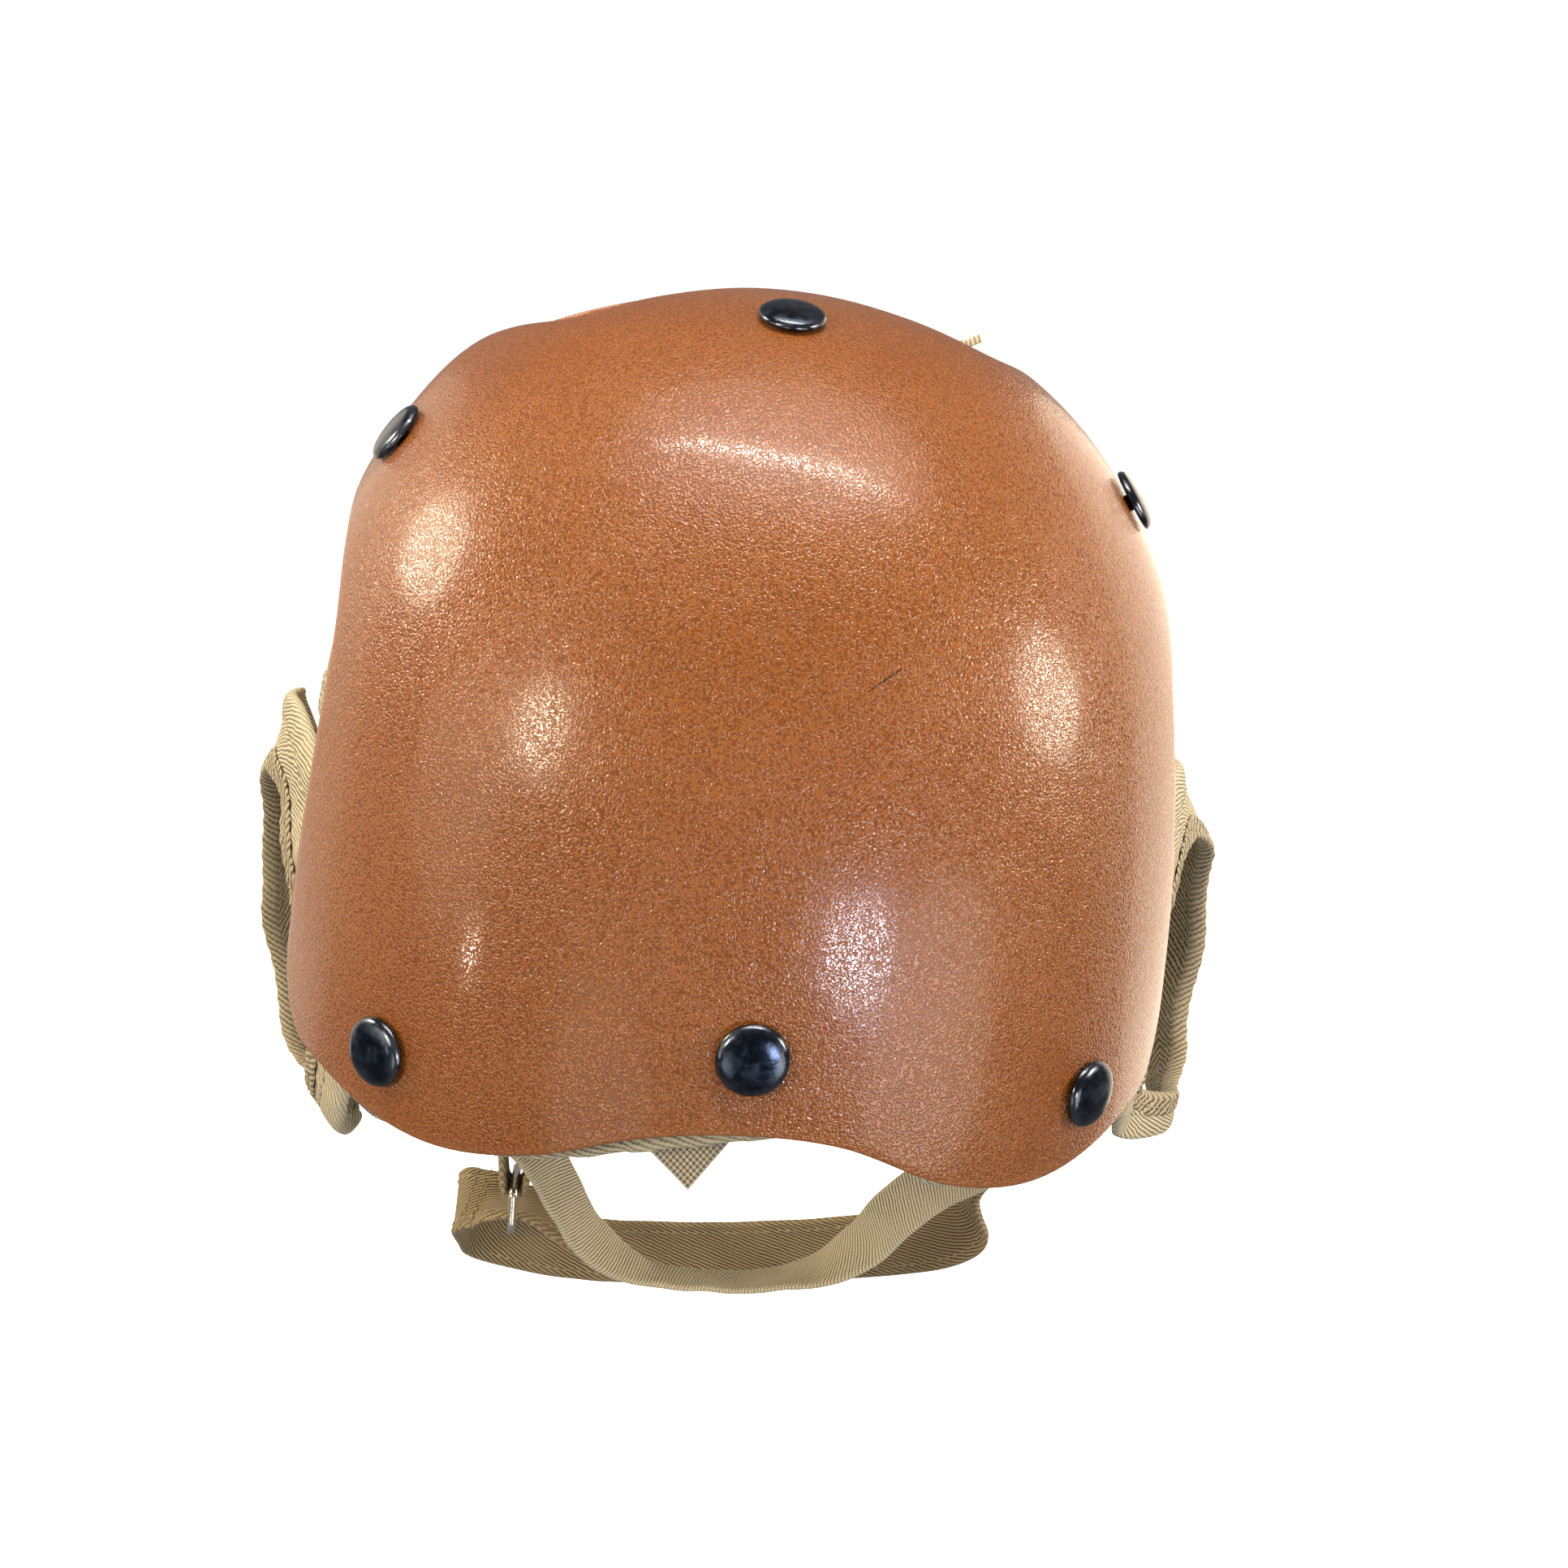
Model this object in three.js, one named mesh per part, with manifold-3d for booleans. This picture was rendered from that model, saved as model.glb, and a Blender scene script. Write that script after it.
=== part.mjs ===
// Flight deck helmet: two moulded shells on a cloth cap, held by snaps, with ear panels and a chin strap.
// Millimetres, +Z up. The origin is the inside of the crown, the face looks along -Y.

import * as THREE from 'three';
import * as BufferGeometryUtils from 'three/addons/utils/BufferGeometryUtils.js';
import Module from 'manifold-3d';

const wasm = await Module();
wasm.setup();

// Hollow of the cap: half sizes at its widest level, its height above and its taper below.
const HOLLOW = { halfWidth: 104, halfLength: 107, rise: 128, fall: 167 };
const PLAN_POWER = 2.25;
const SIDE_POWER = 2.38;
const WIDEST_LEVEL = -HOLLOW.rise;

// Layers, counted outward from the hollow.
const CLOTH = 2.2;
const AIR = 3.6;
const SHELL = 2.6;
const SHELL_INSIDE = CLOTH + AIR;
const SHELL_OUTSIDE = SHELL_INSIDE + SHELL;
const GAP = 0.3;
const WELD = 1e-4;
const FLATNESS = 0.05;

// Twill panels round the ears, lapped on the cap, and the tape that faces their openings.
const PANEL = 2.0;
const PANEL_INSIDE = CLOTH + GAP;
const EAR_TAPE = 1.2;

// Straps.
const STRAP_WIDTH = 19;
const STRAP_THICK = 2.0;
const BAND_WIDTH = 14;
const BAND_THICK = 1.8;
const RING_TAPE_WIDTH = 17;
const RING_TAPE_THICK = 1.6;
const TAB_WIDTH = 19;
const TAB_THICK = 1.6;

// Snaps: a domed cap outside, a socket between shell and cloth, an eyelet inside.
const SNAP = {
  capRadius: 7.55,
  capTop: 3.1,
  shoulder: 2.5,
  shoulderRadius: 4.5,
  rimTop: 1.7,
  rimFoot: 0.4,
  socketRadius: 5.8,
  socketTop: -4.4,
  socketFoot: -5.9,
  eyeletRadius: 4.4,
  eyeletTop: -9.8,
  eyeletFoot: -10.6,
  postRadius: 2.0,
  holeRadius: 2.7,
};
const SNAP_SIDES = 10;
const HOLE_SIDES = 6;

const COLOUR = {
  shell: 0xa85f36,
  cloth: 0x9a8f6c,
  tape: 0x7d7554,
  webbing: 0xa8987a,
  snap: 0x23262e,
  nickel: 0xc9c4b4,
};

const group = new THREE.Group();

function fabric(colour) {
  return new THREE.MeshStandardMaterial({ color: colour, roughness: 0.95, metalness: 0 });
}

function metal(colour, roughness) {
  return new THREE.MeshStandardMaterial({ color: colour, roughness, metalness: 1 });
}

function add(name, geometry, material) {
  const mesh = new THREE.Mesh(geometry, material);
  mesh.name = name;
  group.add(mesh);
}

// The head form: a rounded dome that every layer follows, lifted outward by some millimetres.
function share(value, size, power) {
  return Math.abs(value / size) ** power;
}

function heightShare(level, lift) {
  const rise = level >= WIDEST_LEVEL ? HOLLOW.rise + lift : HOLLOW.fall + lift;
  return share(level - WIDEST_LEVEL, rise, SIDE_POWER);
}

// Point of the lifted form on a ray from the middle of its widest level.
function onForm(direction, lift) {
  const rise = direction.z >= 0 ? HOLLOW.rise + lift : HOLLOW.fall + lift;
  const plan = share(direction.x, HOLLOW.halfWidth + lift, PLAN_POWER)
    + share(direction.y, HOLLOW.halfLength + lift, PLAN_POWER);
  const total = plan ** (SIDE_POWER / PLAN_POWER) + share(direction.z, rise, SIDE_POWER);
  const reach = total ** (-1 / SIDE_POWER);
  return new THREE.Vector3(
    direction.x * reach,
    direction.y * reach,
    direction.z * reach + WIDEST_LEVEL,
  );
}

// Distance from the mid plane of the lifted form's side, at a place along it and a level.
function sideAt(lengthwise, level, lift) {
  const plan = (1 - heightShare(level, lift)) ** (PLAN_POWER / SIDE_POWER);
  const rest = plan - share(lengthwise, HOLLOW.halfLength + lift, PLAN_POWER);
  return (HOLLOW.halfWidth + lift) * Math.max(rest, 0) ** (1 / PLAN_POWER);
}

// Distance from the ear line of the lifted form's back, at a distance from the mid plane and a level.
function backAt(across, level, lift) {
  const plan = (1 - heightShare(level, lift)) ** (PLAN_POWER / SIDE_POWER);
  const rest = plan - share(across, HOLLOW.halfWidth + lift, PLAN_POWER);
  return (HOLLOW.halfLength + lift) * Math.max(rest, 0) ** (1 / PLAN_POWER);
}

function outwardAt(point, lift) {
  const rise = point.z >= WIDEST_LEVEL ? HOLLOW.rise + lift : HOLLOW.fall + lift;
  const wide = HOLLOW.halfWidth + lift;
  const long = HOLLOW.halfLength + lift;
  const plan = share(point.x, wide, PLAN_POWER) + share(point.y, long, PLAN_POWER);
  const ease = plan ** (SIDE_POWER / PLAN_POWER - 1);
  const above = point.z - WIDEST_LEVEL;
  return new THREE.Vector3(
    ease * Math.sign(point.x) * share(point.x, wide, PLAN_POWER - 1) / wide,
    ease * Math.sign(point.y) * share(point.y, long, PLAN_POWER - 1) / long,
    Math.sign(above) * share(above, rise, SIDE_POWER - 1) / rise,
  ).normalize();
}

// Value of a column between the rows of a short table, eased through them.
function between(rows, key, column, place) {
  const next = Math.max(rows.findIndex((row) => row[key] >= place), 1);
  const before = rows[next - 1];
  const after = rows[next];
  const part = THREE.MathUtils.smoothstep(place, before[key], after[key]);
  return before[column] + (after[column] - before[column]) * part;
}

// Closed body from two matching grids of points: rows of a closed ring of columns.
// The first row of each grid is a single middle point when capped, or the rim of a hole.
function wallFromGrids(outer, inner, capped) {
  const columns = outer[1].length;
  const vertices = [];
  const triangles = [];
  const place = (grid) => {
    const start = vertices.length / 3;
    grid.forEach((row) => row.forEach((point) => vertices.push(point.x, point.y, point.z)));
    return start;
  };
  const index = (start, row, column) => {
    if (!capped) {
      return start + row * columns + (column % columns);
    }
    return row === 0 ? start : start + 1 + (row - 1) * columns + (column % columns);
  };
  const face = (a, b, c, flip) => triangles.push(...(flip ? [a, c, b] : [a, b, c]));
  const rows = outer.length;
  const sides = [place(outer), place(inner)];
  sides.forEach((start, side) => {
    for (let row = 1; row < rows; row += 1) {
      for (let column = 0; column < columns; column += 1) {
        const a = index(start, row - 1, column);
        const b = index(start, row, column);
        const c = index(start, row, column + 1);
        const d = index(start, row - 1, column + 1);
        face(a, b, c, side === 1);
        if (a !== d) {
          face(a, c, d, side === 1);
        }
      }
    }
  });
  const joinRims = (row, flip) => {
    for (let column = 0; column < columns; column += 1) {
      const a = index(sides[0], row, column);
      const b = index(sides[1], row, column);
      const c = index(sides[1], row, column + 1);
      const d = index(sides[0], row, column + 1);
      face(a, b, c, flip);
      face(a, c, d, flip);
    }
  };
  joinRims(rows - 1, false);
  if (!capped) {
    joinRims(0, true);
  }
  return bodyFrom(vertices, triangles);
}

// Geometry turned so that it encloses a positive volume.
function bodyFrom(vertices, triangles) {
  const corner = (id) => new THREE.Vector3().fromArray(vertices, 3 * id);
  let volume = 0;
  for (let t = 0; t < triangles.length; t += 3) {
    const [a, b, c] = [corner(triangles[t]), corner(triangles[t + 1]), corner(triangles[t + 2])];
    volume += a.dot(b.cross(c));
  }
  const facing = triangles.slice();
  if (volume < 0) {
    for (let t = 0; t < facing.length; t += 3) {
      [facing[t + 1], facing[t + 2]] = [facing[t + 2], facing[t + 1]];
    }
  }
  const geometry = new THREE.BufferGeometry();
  geometry.setAttribute('position', new THREE.Float32BufferAttribute(vertices, 3));
  geometry.setIndex(facing);
  return geometry;
}

function solidFrom(geometry) {
  const bare = geometry.clone();
  bare.deleteAttribute('normal');
  bare.deleteAttribute('uv');
  const merged = BufferGeometryUtils.mergeVertices(bare, WELD);
  return new wasm.Manifold(new wasm.Mesh({
    numProp: 3,
    vertProperties: new Float32Array(merged.attributes.position.array),
    triVerts: new Uint32Array(merged.index.array),
  }));
}

function geometryFrom(solid) {
  const mesh = solid.simplify(FLATNESS).getMesh();
  const geometry = new THREE.BufferGeometry();
  geometry.setAttribute('position', new THREE.BufferAttribute(new Float32Array(mesh.vertProperties), 3));
  geometry.setIndex(new THREE.BufferAttribute(new Uint32Array(mesh.triVerts), 1));
  return geometry;
}

function cut(geometry, cutters) {
  return geometryFrom(cutters.reduce((solid, cutter) => solid.subtract(solidFrom(cutter)), solidFrom(geometry)));
}

// Snaps, by the distance from the mid plane and the level of the shell's outside.
const BACK_SNAPS = [
  { name: 'snap_back_top', x: 0, z: -5, side: 1 },
  { name: 'snap_back_bottom', x: 0, z: -156, side: 1 },
  { name: 'snap_back_upper_left', x: 85, z: -36.5, side: 1 },
  { name: 'snap_back_upper_right', x: -85, z: -36.5, side: 1 },
  { name: 'snap_back_lower_left', x: 76, z: -166, side: 1 },
  { name: 'snap_back_lower_right', x: -76, z: -166, side: 1 },
];
const FRONT_SNAPS = [
  { name: 'snap_front_top', x: 0, z: 0.5, side: -1 },
  { name: 'snap_front_brow', x: 0, z: -84, side: -1 },
  { name: 'snap_front_upper_left', x: 84, z: -37, side: -1 },
  { name: 'snap_front_upper_right', x: -84, z: -37, side: -1 },
  { name: 'snap_front_lower_left', x: 90, z: -111, side: -1 },
  { name: 'snap_front_lower_right', x: -90, z: -111, side: -1 },
];

function snapPose(snap) {
  const point = new THREE.Vector3(snap.x, snap.side * backAt(snap.x, snap.z, SHELL_OUTSIDE), snap.z);
  const outward = outwardAt(point, SHELL_OUTSIDE);
  return { point, turn: new THREE.Quaternion().setFromUnitVectors(new THREE.Vector3(0, 1, 0), outward) };
}

function snapGeometry(snap) {
  const profile = [
    [0, SNAP.eyeletFoot],
    [SNAP.eyeletRadius, SNAP.eyeletFoot],
    [SNAP.eyeletRadius, SNAP.eyeletTop],
    [SNAP.postRadius, SNAP.eyeletTop],
    [SNAP.postRadius, SNAP.socketFoot],
    [SNAP.socketRadius, SNAP.socketFoot],
    [SNAP.socketRadius, SNAP.socketTop],
    [SNAP.postRadius, SNAP.socketTop],
    [SNAP.postRadius, SNAP.rimFoot],
    [SNAP.capRadius, SNAP.rimFoot],
    [SNAP.capRadius, SNAP.rimTop],
    [SNAP.shoulderRadius, SNAP.shoulder],
    [0, SNAP.capTop],
  ].map(([radius, height]) => new THREE.Vector2(radius, height));
  const { point, turn } = snapPose(snap);
  return new THREE.LatheGeometry(profile, SNAP_SIDES).applyQuaternion(turn).translate(...point.toArray());
}

function snapHole(snap) {
  const depth = SHELL_OUTSIDE * 3;
  const { point, turn } = snapPose(snap);
  return new THREE.CylinderGeometry(SNAP.holeRadius, SNAP.holeRadius, depth, HOLE_SIDES)
    .applyQuaternion(turn).translate(...point.toArray());
}

// Shells: each is a patch of the form round its own middle. Its outline is a half turn from the
// top (90) to the bottom (-90), with the angle that it reaches from the middle, and is mirrored.
const SHELL_COLUMNS = 44;
const SHELL_ROWS = 6;
const BACK_MIDDLE_RISE = 30;
const FRONT_MIDDLE_RISE = 46;

const BACK_OUTLINE = [
  { round: 90, reach: 46 },
  { round: 73, reach: 43 },
  { round: 60, reach: 44 },
  { round: 55, reach: 52 },
  { round: 50, reach: 58 },
  { round: 40, reach: 60 },
  { round: 31, reach: 58.3 },
  { round: 19, reach: 52.5 },
  { round: 6, reach: 50.5 },
  { round: -8, reach: 55.5 },
  { round: -22, reach: 67.5 },
  { round: -28.5, reach: 74.5 },
  { round: -34, reach: 75.5 },
  { round: -40, reach: 72 },
  { round: -56, reach: 64.7 },
  { round: -66, reach: 59.3 },
  { round: -78, reach: 53.2 },
  { round: -90, reach: 51.5 },
];

const FRONT_OUTLINE = [
  { round: 90, reach: 43 },
  { round: 66, reach: 43 },
  { round: 52, reach: 49 },
  { round: 40, reach: 54 },
  { round: 24, reach: 56 },
  { round: 6, reach: 54 },
  { round: -12, reach: 56 },
  { round: -28, reach: 60 },
  { round: -42, reach: 57 },
  { round: -60, reach: 44 },
  { round: -76, reach: 38 },
  { round: -90, reach: 36.5 },
];

function shellGeometry(outline, middleRise, side, snaps) {
  const rise = THREE.MathUtils.degToRad(middleRise);
  const middle = new THREE.Vector3(0, side * Math.cos(rise), Math.sin(rise));
  const across = new THREE.Vector3(1, 0, 0);
  const upward = new THREE.Vector3(0, -side * Math.sin(rise), Math.cos(rise));
  const toward = (round, reach) => {
    const turn = THREE.MathUtils.degToRad(round);
    const open = THREE.MathUtils.degToRad(reach);
    return middle.clone().multiplyScalar(Math.cos(open))
      .addScaledVector(across, Math.sin(open) * Math.cos(turn))
      .addScaledVector(upward, Math.sin(open) * Math.sin(turn));
  };
  const half = outline.map((row) => toward(row.round, row.reach));
  const otherHalf = outline.slice(1, -1).map((row) => toward(180 - row.round, row.reach)).reverse();
  const edge = new THREE.CatmullRomCurve3([...half, ...otherHalf], true, 'centripetal');
  const ends = edge.getSpacedPoints(SHELL_COLUMNS).slice(0, SHELL_COLUMNS / 2 + 1);
  ends[0].setX(0);
  ends[SHELL_COLUMNS / 2].setX(0);
  for (let column = SHELL_COLUMNS / 2 - 1; column > 0; column -= 1) {
    ends.push(new THREE.Vector3(-ends[column].x, ends[column].y, ends[column].z));
  }
  const grid = (lift) => {
    const rows = [[onForm(middle, lift)]];
    for (let row = 1; row <= SHELL_ROWS; row += 1) {
      rows.push(ends.map((end) => {
        const axis = new THREE.Vector3().crossVectors(middle, end).normalize();
        const angle = middle.angleTo(end) * row / SHELL_ROWS;
        return onForm(middle.clone().applyAxisAngle(axis, angle), lift);
      }));
    }
    return rows;
  };
  return cut(wallFromGrids(grid(SHELL_OUTSIDE), grid(SHELL_INSIDE), true), snaps.map(snapHole));
}

const shellPlastic = () => new THREE.MeshStandardMaterial({
  color: COLOUR.shell, roughness: 0.45, metalness: 0,
});
add('back_shell', shellGeometry(BACK_OUTLINE, BACK_MIDDLE_RISE, 1, BACK_SNAPS), shellPlastic());
add('front_shell', shellGeometry(FRONT_OUTLINE, FRONT_MIDDLE_RISE, -1, FRONT_SNAPS), shellPlastic());

// Cap: a cloth dome from the crown to its lower edge, whose level changes round the head from
// the back (0 degrees) to the brow (180 degrees). It is cut high over the ears.
const CAP_COLUMNS = 48;
const CAP_ROWS = 11;
const CAP_EDGE = [
  { turn: 0, level: -174.5 },
  { turn: 12, level: -177.5 },
  { turn: 30, level: -185 },
  { turn: 44, level: -184.5 },
  { turn: 49, level: -180 },
  { turn: 55, level: -116 },
  { turn: 64, level: -102 },
  { turn: 100, level: -102 },
  { turn: 116, level: -122 },
  { turn: 132, level: -128 },
  { turn: 150, level: -119 },
  { turn: 180, level: -111 },
];
// The empty cap falls in a little over the ears, most at its edge.
const CAP_SAG = { depth: 3, roundPower: 8, downPower: 4 };
// Seams: a level one below the crown, one across the crown, and upright ones round the lower
// cap. Each upright one is a column of the cap's grid, counted from the back.
const CAP_SEAMS = { crownLevel: -58, backColumn: 8, browColumn: 15 };

// Angle down from the crown at which a ray in a given turn meets a level of the lifted form.
function dropTo(turn, level, lift) {
  const plan = (1 - heightShare(level, lift)) ** (1 / SIDE_POWER);
  const flat = share(Math.sin(turn), HOLLOW.halfWidth + lift, PLAN_POWER)
    + share(Math.cos(turn), HOLLOW.halfLength + lift, PLAN_POWER);
  return Math.atan2(plan * flat ** (-1 / PLAN_POWER), level - WIDEST_LEVEL);
}

function capGeometry() {
  const crown = new THREE.Vector3(0, 0, 1);
  const grid = (lift) => {
    const rows = [[onForm(crown, lift)]];
    for (let row = 1; row <= CAP_ROWS; row += 1) {
      const ring = [];
      for (let column = 0; column < CAP_COLUMNS; column += 1) {
        const turn = 2 * Math.PI * column / CAP_COLUMNS;
        const fromBack = THREE.MathUtils.radToDeg(Math.min(turn, 2 * Math.PI - turn));
        const sag = Math.sin(turn) ** CAP_SAG.roundPower * (row / CAP_ROWS) ** CAP_SAG.downPower;
        const layer = lift - CAP_SAG.depth * sag;
        const drop = dropTo(turn, between(CAP_EDGE, 'turn', 'level', fromBack), layer) * row / CAP_ROWS;
        const flat = Math.sin(drop);
        const direction = new THREE.Vector3(flat * Math.sin(turn), flat * Math.cos(turn), Math.cos(drop));
        ring.push(onForm(direction, layer));
      }
      rows.push(ring);
    }
    return rows;
  };
  const holes = [...BACK_SNAPS, ...FRONT_SNAPS].map(snapHole);
  return cut(wallFromGrids(grid(CLOTH), grid(0), true), holes);
}

// Keeps what lies beyond each plane, given by its normal and its distance, and half a gap off it.
function beyond(solid, planes) {
  return planes.reduce((rest, [x, y, z, reach]) => rest.trimByPlane([x, y, z], reach + GAP / 2), solid);
}

// Upright plane through the middle, at a column of the grid, with the further columns beyond it.
function pastColumn(column) {
  const turn = 2 * Math.PI * column / CAP_COLUMNS;
  return [Math.cos(turn), -Math.sin(turn), 0, 0];
}

function beforeColumn(column) {
  return pastColumn(column).map((value) => -value);
}

const { crownLevel, backColumn, browColumn } = CAP_SEAMS;
const aboveCrownSeam = [0, 0, 1, crownLevel];
const belowCrownSeam = [0, 0, -1, -crownLevel];
const CAP_PANELS = {
  cap_crown_back: [aboveCrownSeam, [0, 1, 0, 0]],
  cap_crown_front: [aboveCrownSeam, [0, -1, 0, 0]],
  cap_back: [belowCrownSeam, pastColumn(-backColumn), beforeColumn(backColumn)],
  cap_side_left: [belowCrownSeam, pastColumn(backColumn), beforeColumn(browColumn)],
  cap_side_right: [belowCrownSeam, pastColumn(-browColumn), beforeColumn(-backColumn)],
  cap_brow: [belowCrownSeam, pastColumn(browColumn), beforeColumn(CAP_COLUMNS - browColumn)],
};
const wholeCap = solidFrom(capGeometry());
Object.entries(CAP_PANELS).forEach(([name, planes]) => {
  add(name, geometryFrom(beyond(wholeCap, planes)), fabric(COLOUR.cloth));
});

// Ear panels: rings of twill lapped on the cap's sides, from the rim of the ear opening to the
// panel's edge. Both curves stand off the form by distances that change round the opening:
// 0 degrees is to the back, 90 the top, 180 the front and 270 the bottom.
const EAR = {
  left: {
    side: 1,
    rim: { y: 22, z: -155, halfLength: 27, halfHeight: 38, power: 2.4 },
    edge: { y: 16, z: -151, halfLength: 50, halfHeight: 53, power: 2.6 },
    rimStand: 'leftRim',
    edgeStand: 'leftEdge',
  },
  right: {
    side: -1,
    rim: { y: 22, z: -150, halfLength: 27, halfHeight: 33, power: 2.4 },
    edge: { y: 16, z: -146, halfLength: 50, halfHeight: 48, power: 2.6 },
    rimStand: 'rightRim',
    edgeStand: 'rightEdge',
  },
};
const EAR_STAND = [
  { turn: 0, leftRim: 0, leftEdge: 0, rightRim: 0, rightEdge: 0 },
  { turn: 45, leftRim: 3, leftEdge: 0, rightRim: 3, rightEdge: 0 },
  { turn: 90, leftRim: 6, leftEdge: 2, rightRim: 9, rightEdge: 4 },
  { turn: 135, leftRim: 9, leftEdge: 4, rightRim: 19, rightEdge: 13 },
  { turn: 180, leftRim: 9, leftEdge: 5, rightRim: 22, rightEdge: 15 },
  { turn: 225, leftRim: 1, leftEdge: 1, rightRim: 21, rightEdge: 20 },
  { turn: 270, leftRim: -6, leftEdge: -13, rightRim: 15, rightEdge: 16 },
  { turn: 310, leftRim: -3, leftEdge: -6, rightRim: 2, rightEdge: 0 },
  { turn: 360, leftRim: 0, leftEdge: 0, rightRim: 0, rightEdge: 0 },
];
const EAR_COLUMNS = 32;
const EAR_ROWS = 3;
const EAR_TAPE_ROWS = 2;

function ovalPoint(oval, turn) {
  const cos = Math.cos(turn);
  const sin = Math.sin(turn);
  const reach = (share(cos, 1, oval.power) + share(sin, 1, oval.power)) ** (-1 / oval.power);
  return { y: oval.y + oval.halfLength * cos * reach, z: oval.z + oval.halfHeight * sin * reach };
}

function earRing(ear, lift, thickness, lastRow) {
  const grid = (layer) => {
    const rows = [];
    for (let row = 0; row <= lastRow; row += 1) {
      const ring = [];
      for (let column = 0; column < EAR_COLUMNS; column += 1) {
        const turn = 2 * Math.PI * column / EAR_COLUMNS;
        const degrees = THREE.MathUtils.radToDeg(turn);
        const rim = ovalPoint(ear.rim, turn);
        const edge = ovalPoint(ear.edge, turn);
        const rimStand = between(EAR_STAND, 'turn', ear.rimStand, degrees);
        const edgeStand = between(EAR_STAND, 'turn', ear.edgeStand, degrees);
        const part = row / EAR_ROWS;
        const y = rim.y + (edge.y - rim.y) * part;
        const z = rim.z + (edge.z - rim.z) * part;
        const stand = rimStand + (edgeStand - rimStand) * part;
        ring.push(new THREE.Vector3(ear.side * (sideAt(y, z, layer) + stand), y, z));
      }
      rows.push(ring);
    }
    return rows;
  };
  return wallFromGrids(grid(lift + thickness), grid(lift), false);
}

const TAPE_INSIDE = PANEL_INSIDE - 2 * GAP - EAR_TAPE;
['left', 'right'].forEach((hand) => {
  add(`ear_panel_${hand}`, earRing(EAR[hand], PANEL_INSIDE, PANEL, EAR_ROWS), fabric(COLOUR.cloth));
  add(`ear_tape_${hand}`, earRing(EAR[hand], TAPE_INSIDE, EAR_TAPE, EAR_TAPE_ROWS), fabric(COLOUR.tape));
});

// Flat bands: a rectangle swept along a curve through rows of points. Each row also says which
// way the band's width lies there, by the across columns.
function bandGeometry(rows, width, thickness, steps) {
  const path = new THREE.CatmullRomCurve3(rows.map((row) => new THREE.Vector3(row.x, row.y, row.z)));
  const lie = new THREE.CatmullRomCurve3(rows.map((row) => new THREE.Vector3(row.ax, row.ay, row.az)));
  const vertices = [];
  const triangles = [];
  for (let step = 0; step <= steps; step += 1) {
    const place = step / steps;
    const point = path.getPoint(place);
    const ahead = path.getTangent(place);
    const across = lie.getPoint(place);
    across.addScaledVector(ahead, -across.dot(ahead)).normalize();
    const outward = new THREE.Vector3().crossVectors(ahead, across);
    const corners = [[-1, -1], [1, -1], [1, 1], [-1, 1]];
    corners.forEach(([wide, thick]) => {
      const corner = point.clone()
        .addScaledVector(across, wide * width / 2)
        .addScaledVector(outward, thick * thickness / 2);
      vertices.push(corner.x, corner.y, corner.z);
    });
    if (step > 0) {
      const from = 4 * (step - 1);
      for (let side = 0; side < 4; side += 1) {
        const a = from + side;
        const b = from + (side + 1) % 4;
        triangles.push(a, b, b + 4, a, b + 4, a + 4);
      }
    }
  }
  const end = 4 * steps;
  triangles.push(0, 2, 1, 0, 3, 2, end, end + 1, end + 2, end, end + 2, end + 3);
  return bodyFrom(vertices, triangles);
}

// Chin strap: sewn inside the right panel, round under the chin, turned back on the left and
// through the ring to its free end.
const STRAP_STEPS = 57;
const STRAP_ROWS = [
  { x: -113, y: 4, z: -189, ax: 0, ay: 1, az: 0 },
  { x: -97, y: 0, z: -200, ax: 0, ay: 1, az: -0.1 },
  { x: -84, y: -7, z: -209, ax: 0.1, ay: 0.9, az: -0.4 },
  { x: -77, y: -17, z: -221, ax: 0, ay: 0.8, az: -0.6 },
  { x: -79, y: -27, z: -237.5, ax: -0.45, ay: 0.5, az: -0.75 },
  { x: -74, y: -34, z: -245, ax: -0.35, ay: 0.25, az: -0.9 },
  { x: -50, y: -49, z: -256, ax: -0.1, ay: 0, az: -1 },
  { x: -10, y: -57, z: -263, ax: 0, ay: 0, az: -1 },
  { x: 28, y: -57, z: -263.5, ax: 0, ay: 0, az: -1 },
  { x: 45, y: -54.5, z: -260.5, ax: 0, ay: 0, az: -1 },
  { x: 57, y: -51, z: -256, ax: 0, ay: 0.1, az: -1 },
  { x: 63, y: -45, z: -250, ax: 0, ay: 0.5, az: -0.85 },
  { x: 64.4, y: -38, z: -244.5, ax: 0, ay: 0.72, az: -0.69 },
  { x: 62, y: -33, z: -241.5, ax: 0, ay: 0.78, az: -0.62 },
  { x: 57, y: -30.5, z: -240.3, ax: 0, ay: 0.85, az: -0.5 },
  { x: 52.5, y: -28.5, z: -240, ax: 0, ay: 1, az: -0.2 },
  { x: 49, y: -28, z: -240, ax: 0, ay: 1, az: -0.12 },
  { x: 44.5, y: -28, z: -240.4, ax: 0, ay: 1, az: -0.15 },
  { x: 37, y: -28.5, z: -243.5, ax: 0, ay: 1, az: -0.35 },
  { x: 29, y: -30, z: -248, ax: 0, ay: 0.9, az: -0.45 },
];
add('chin_strap', bandGeometry(STRAP_ROWS, STRAP_WIDTH, STRAP_THICK, STRAP_STEPS), fabric(COLOUR.cloth));

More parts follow.
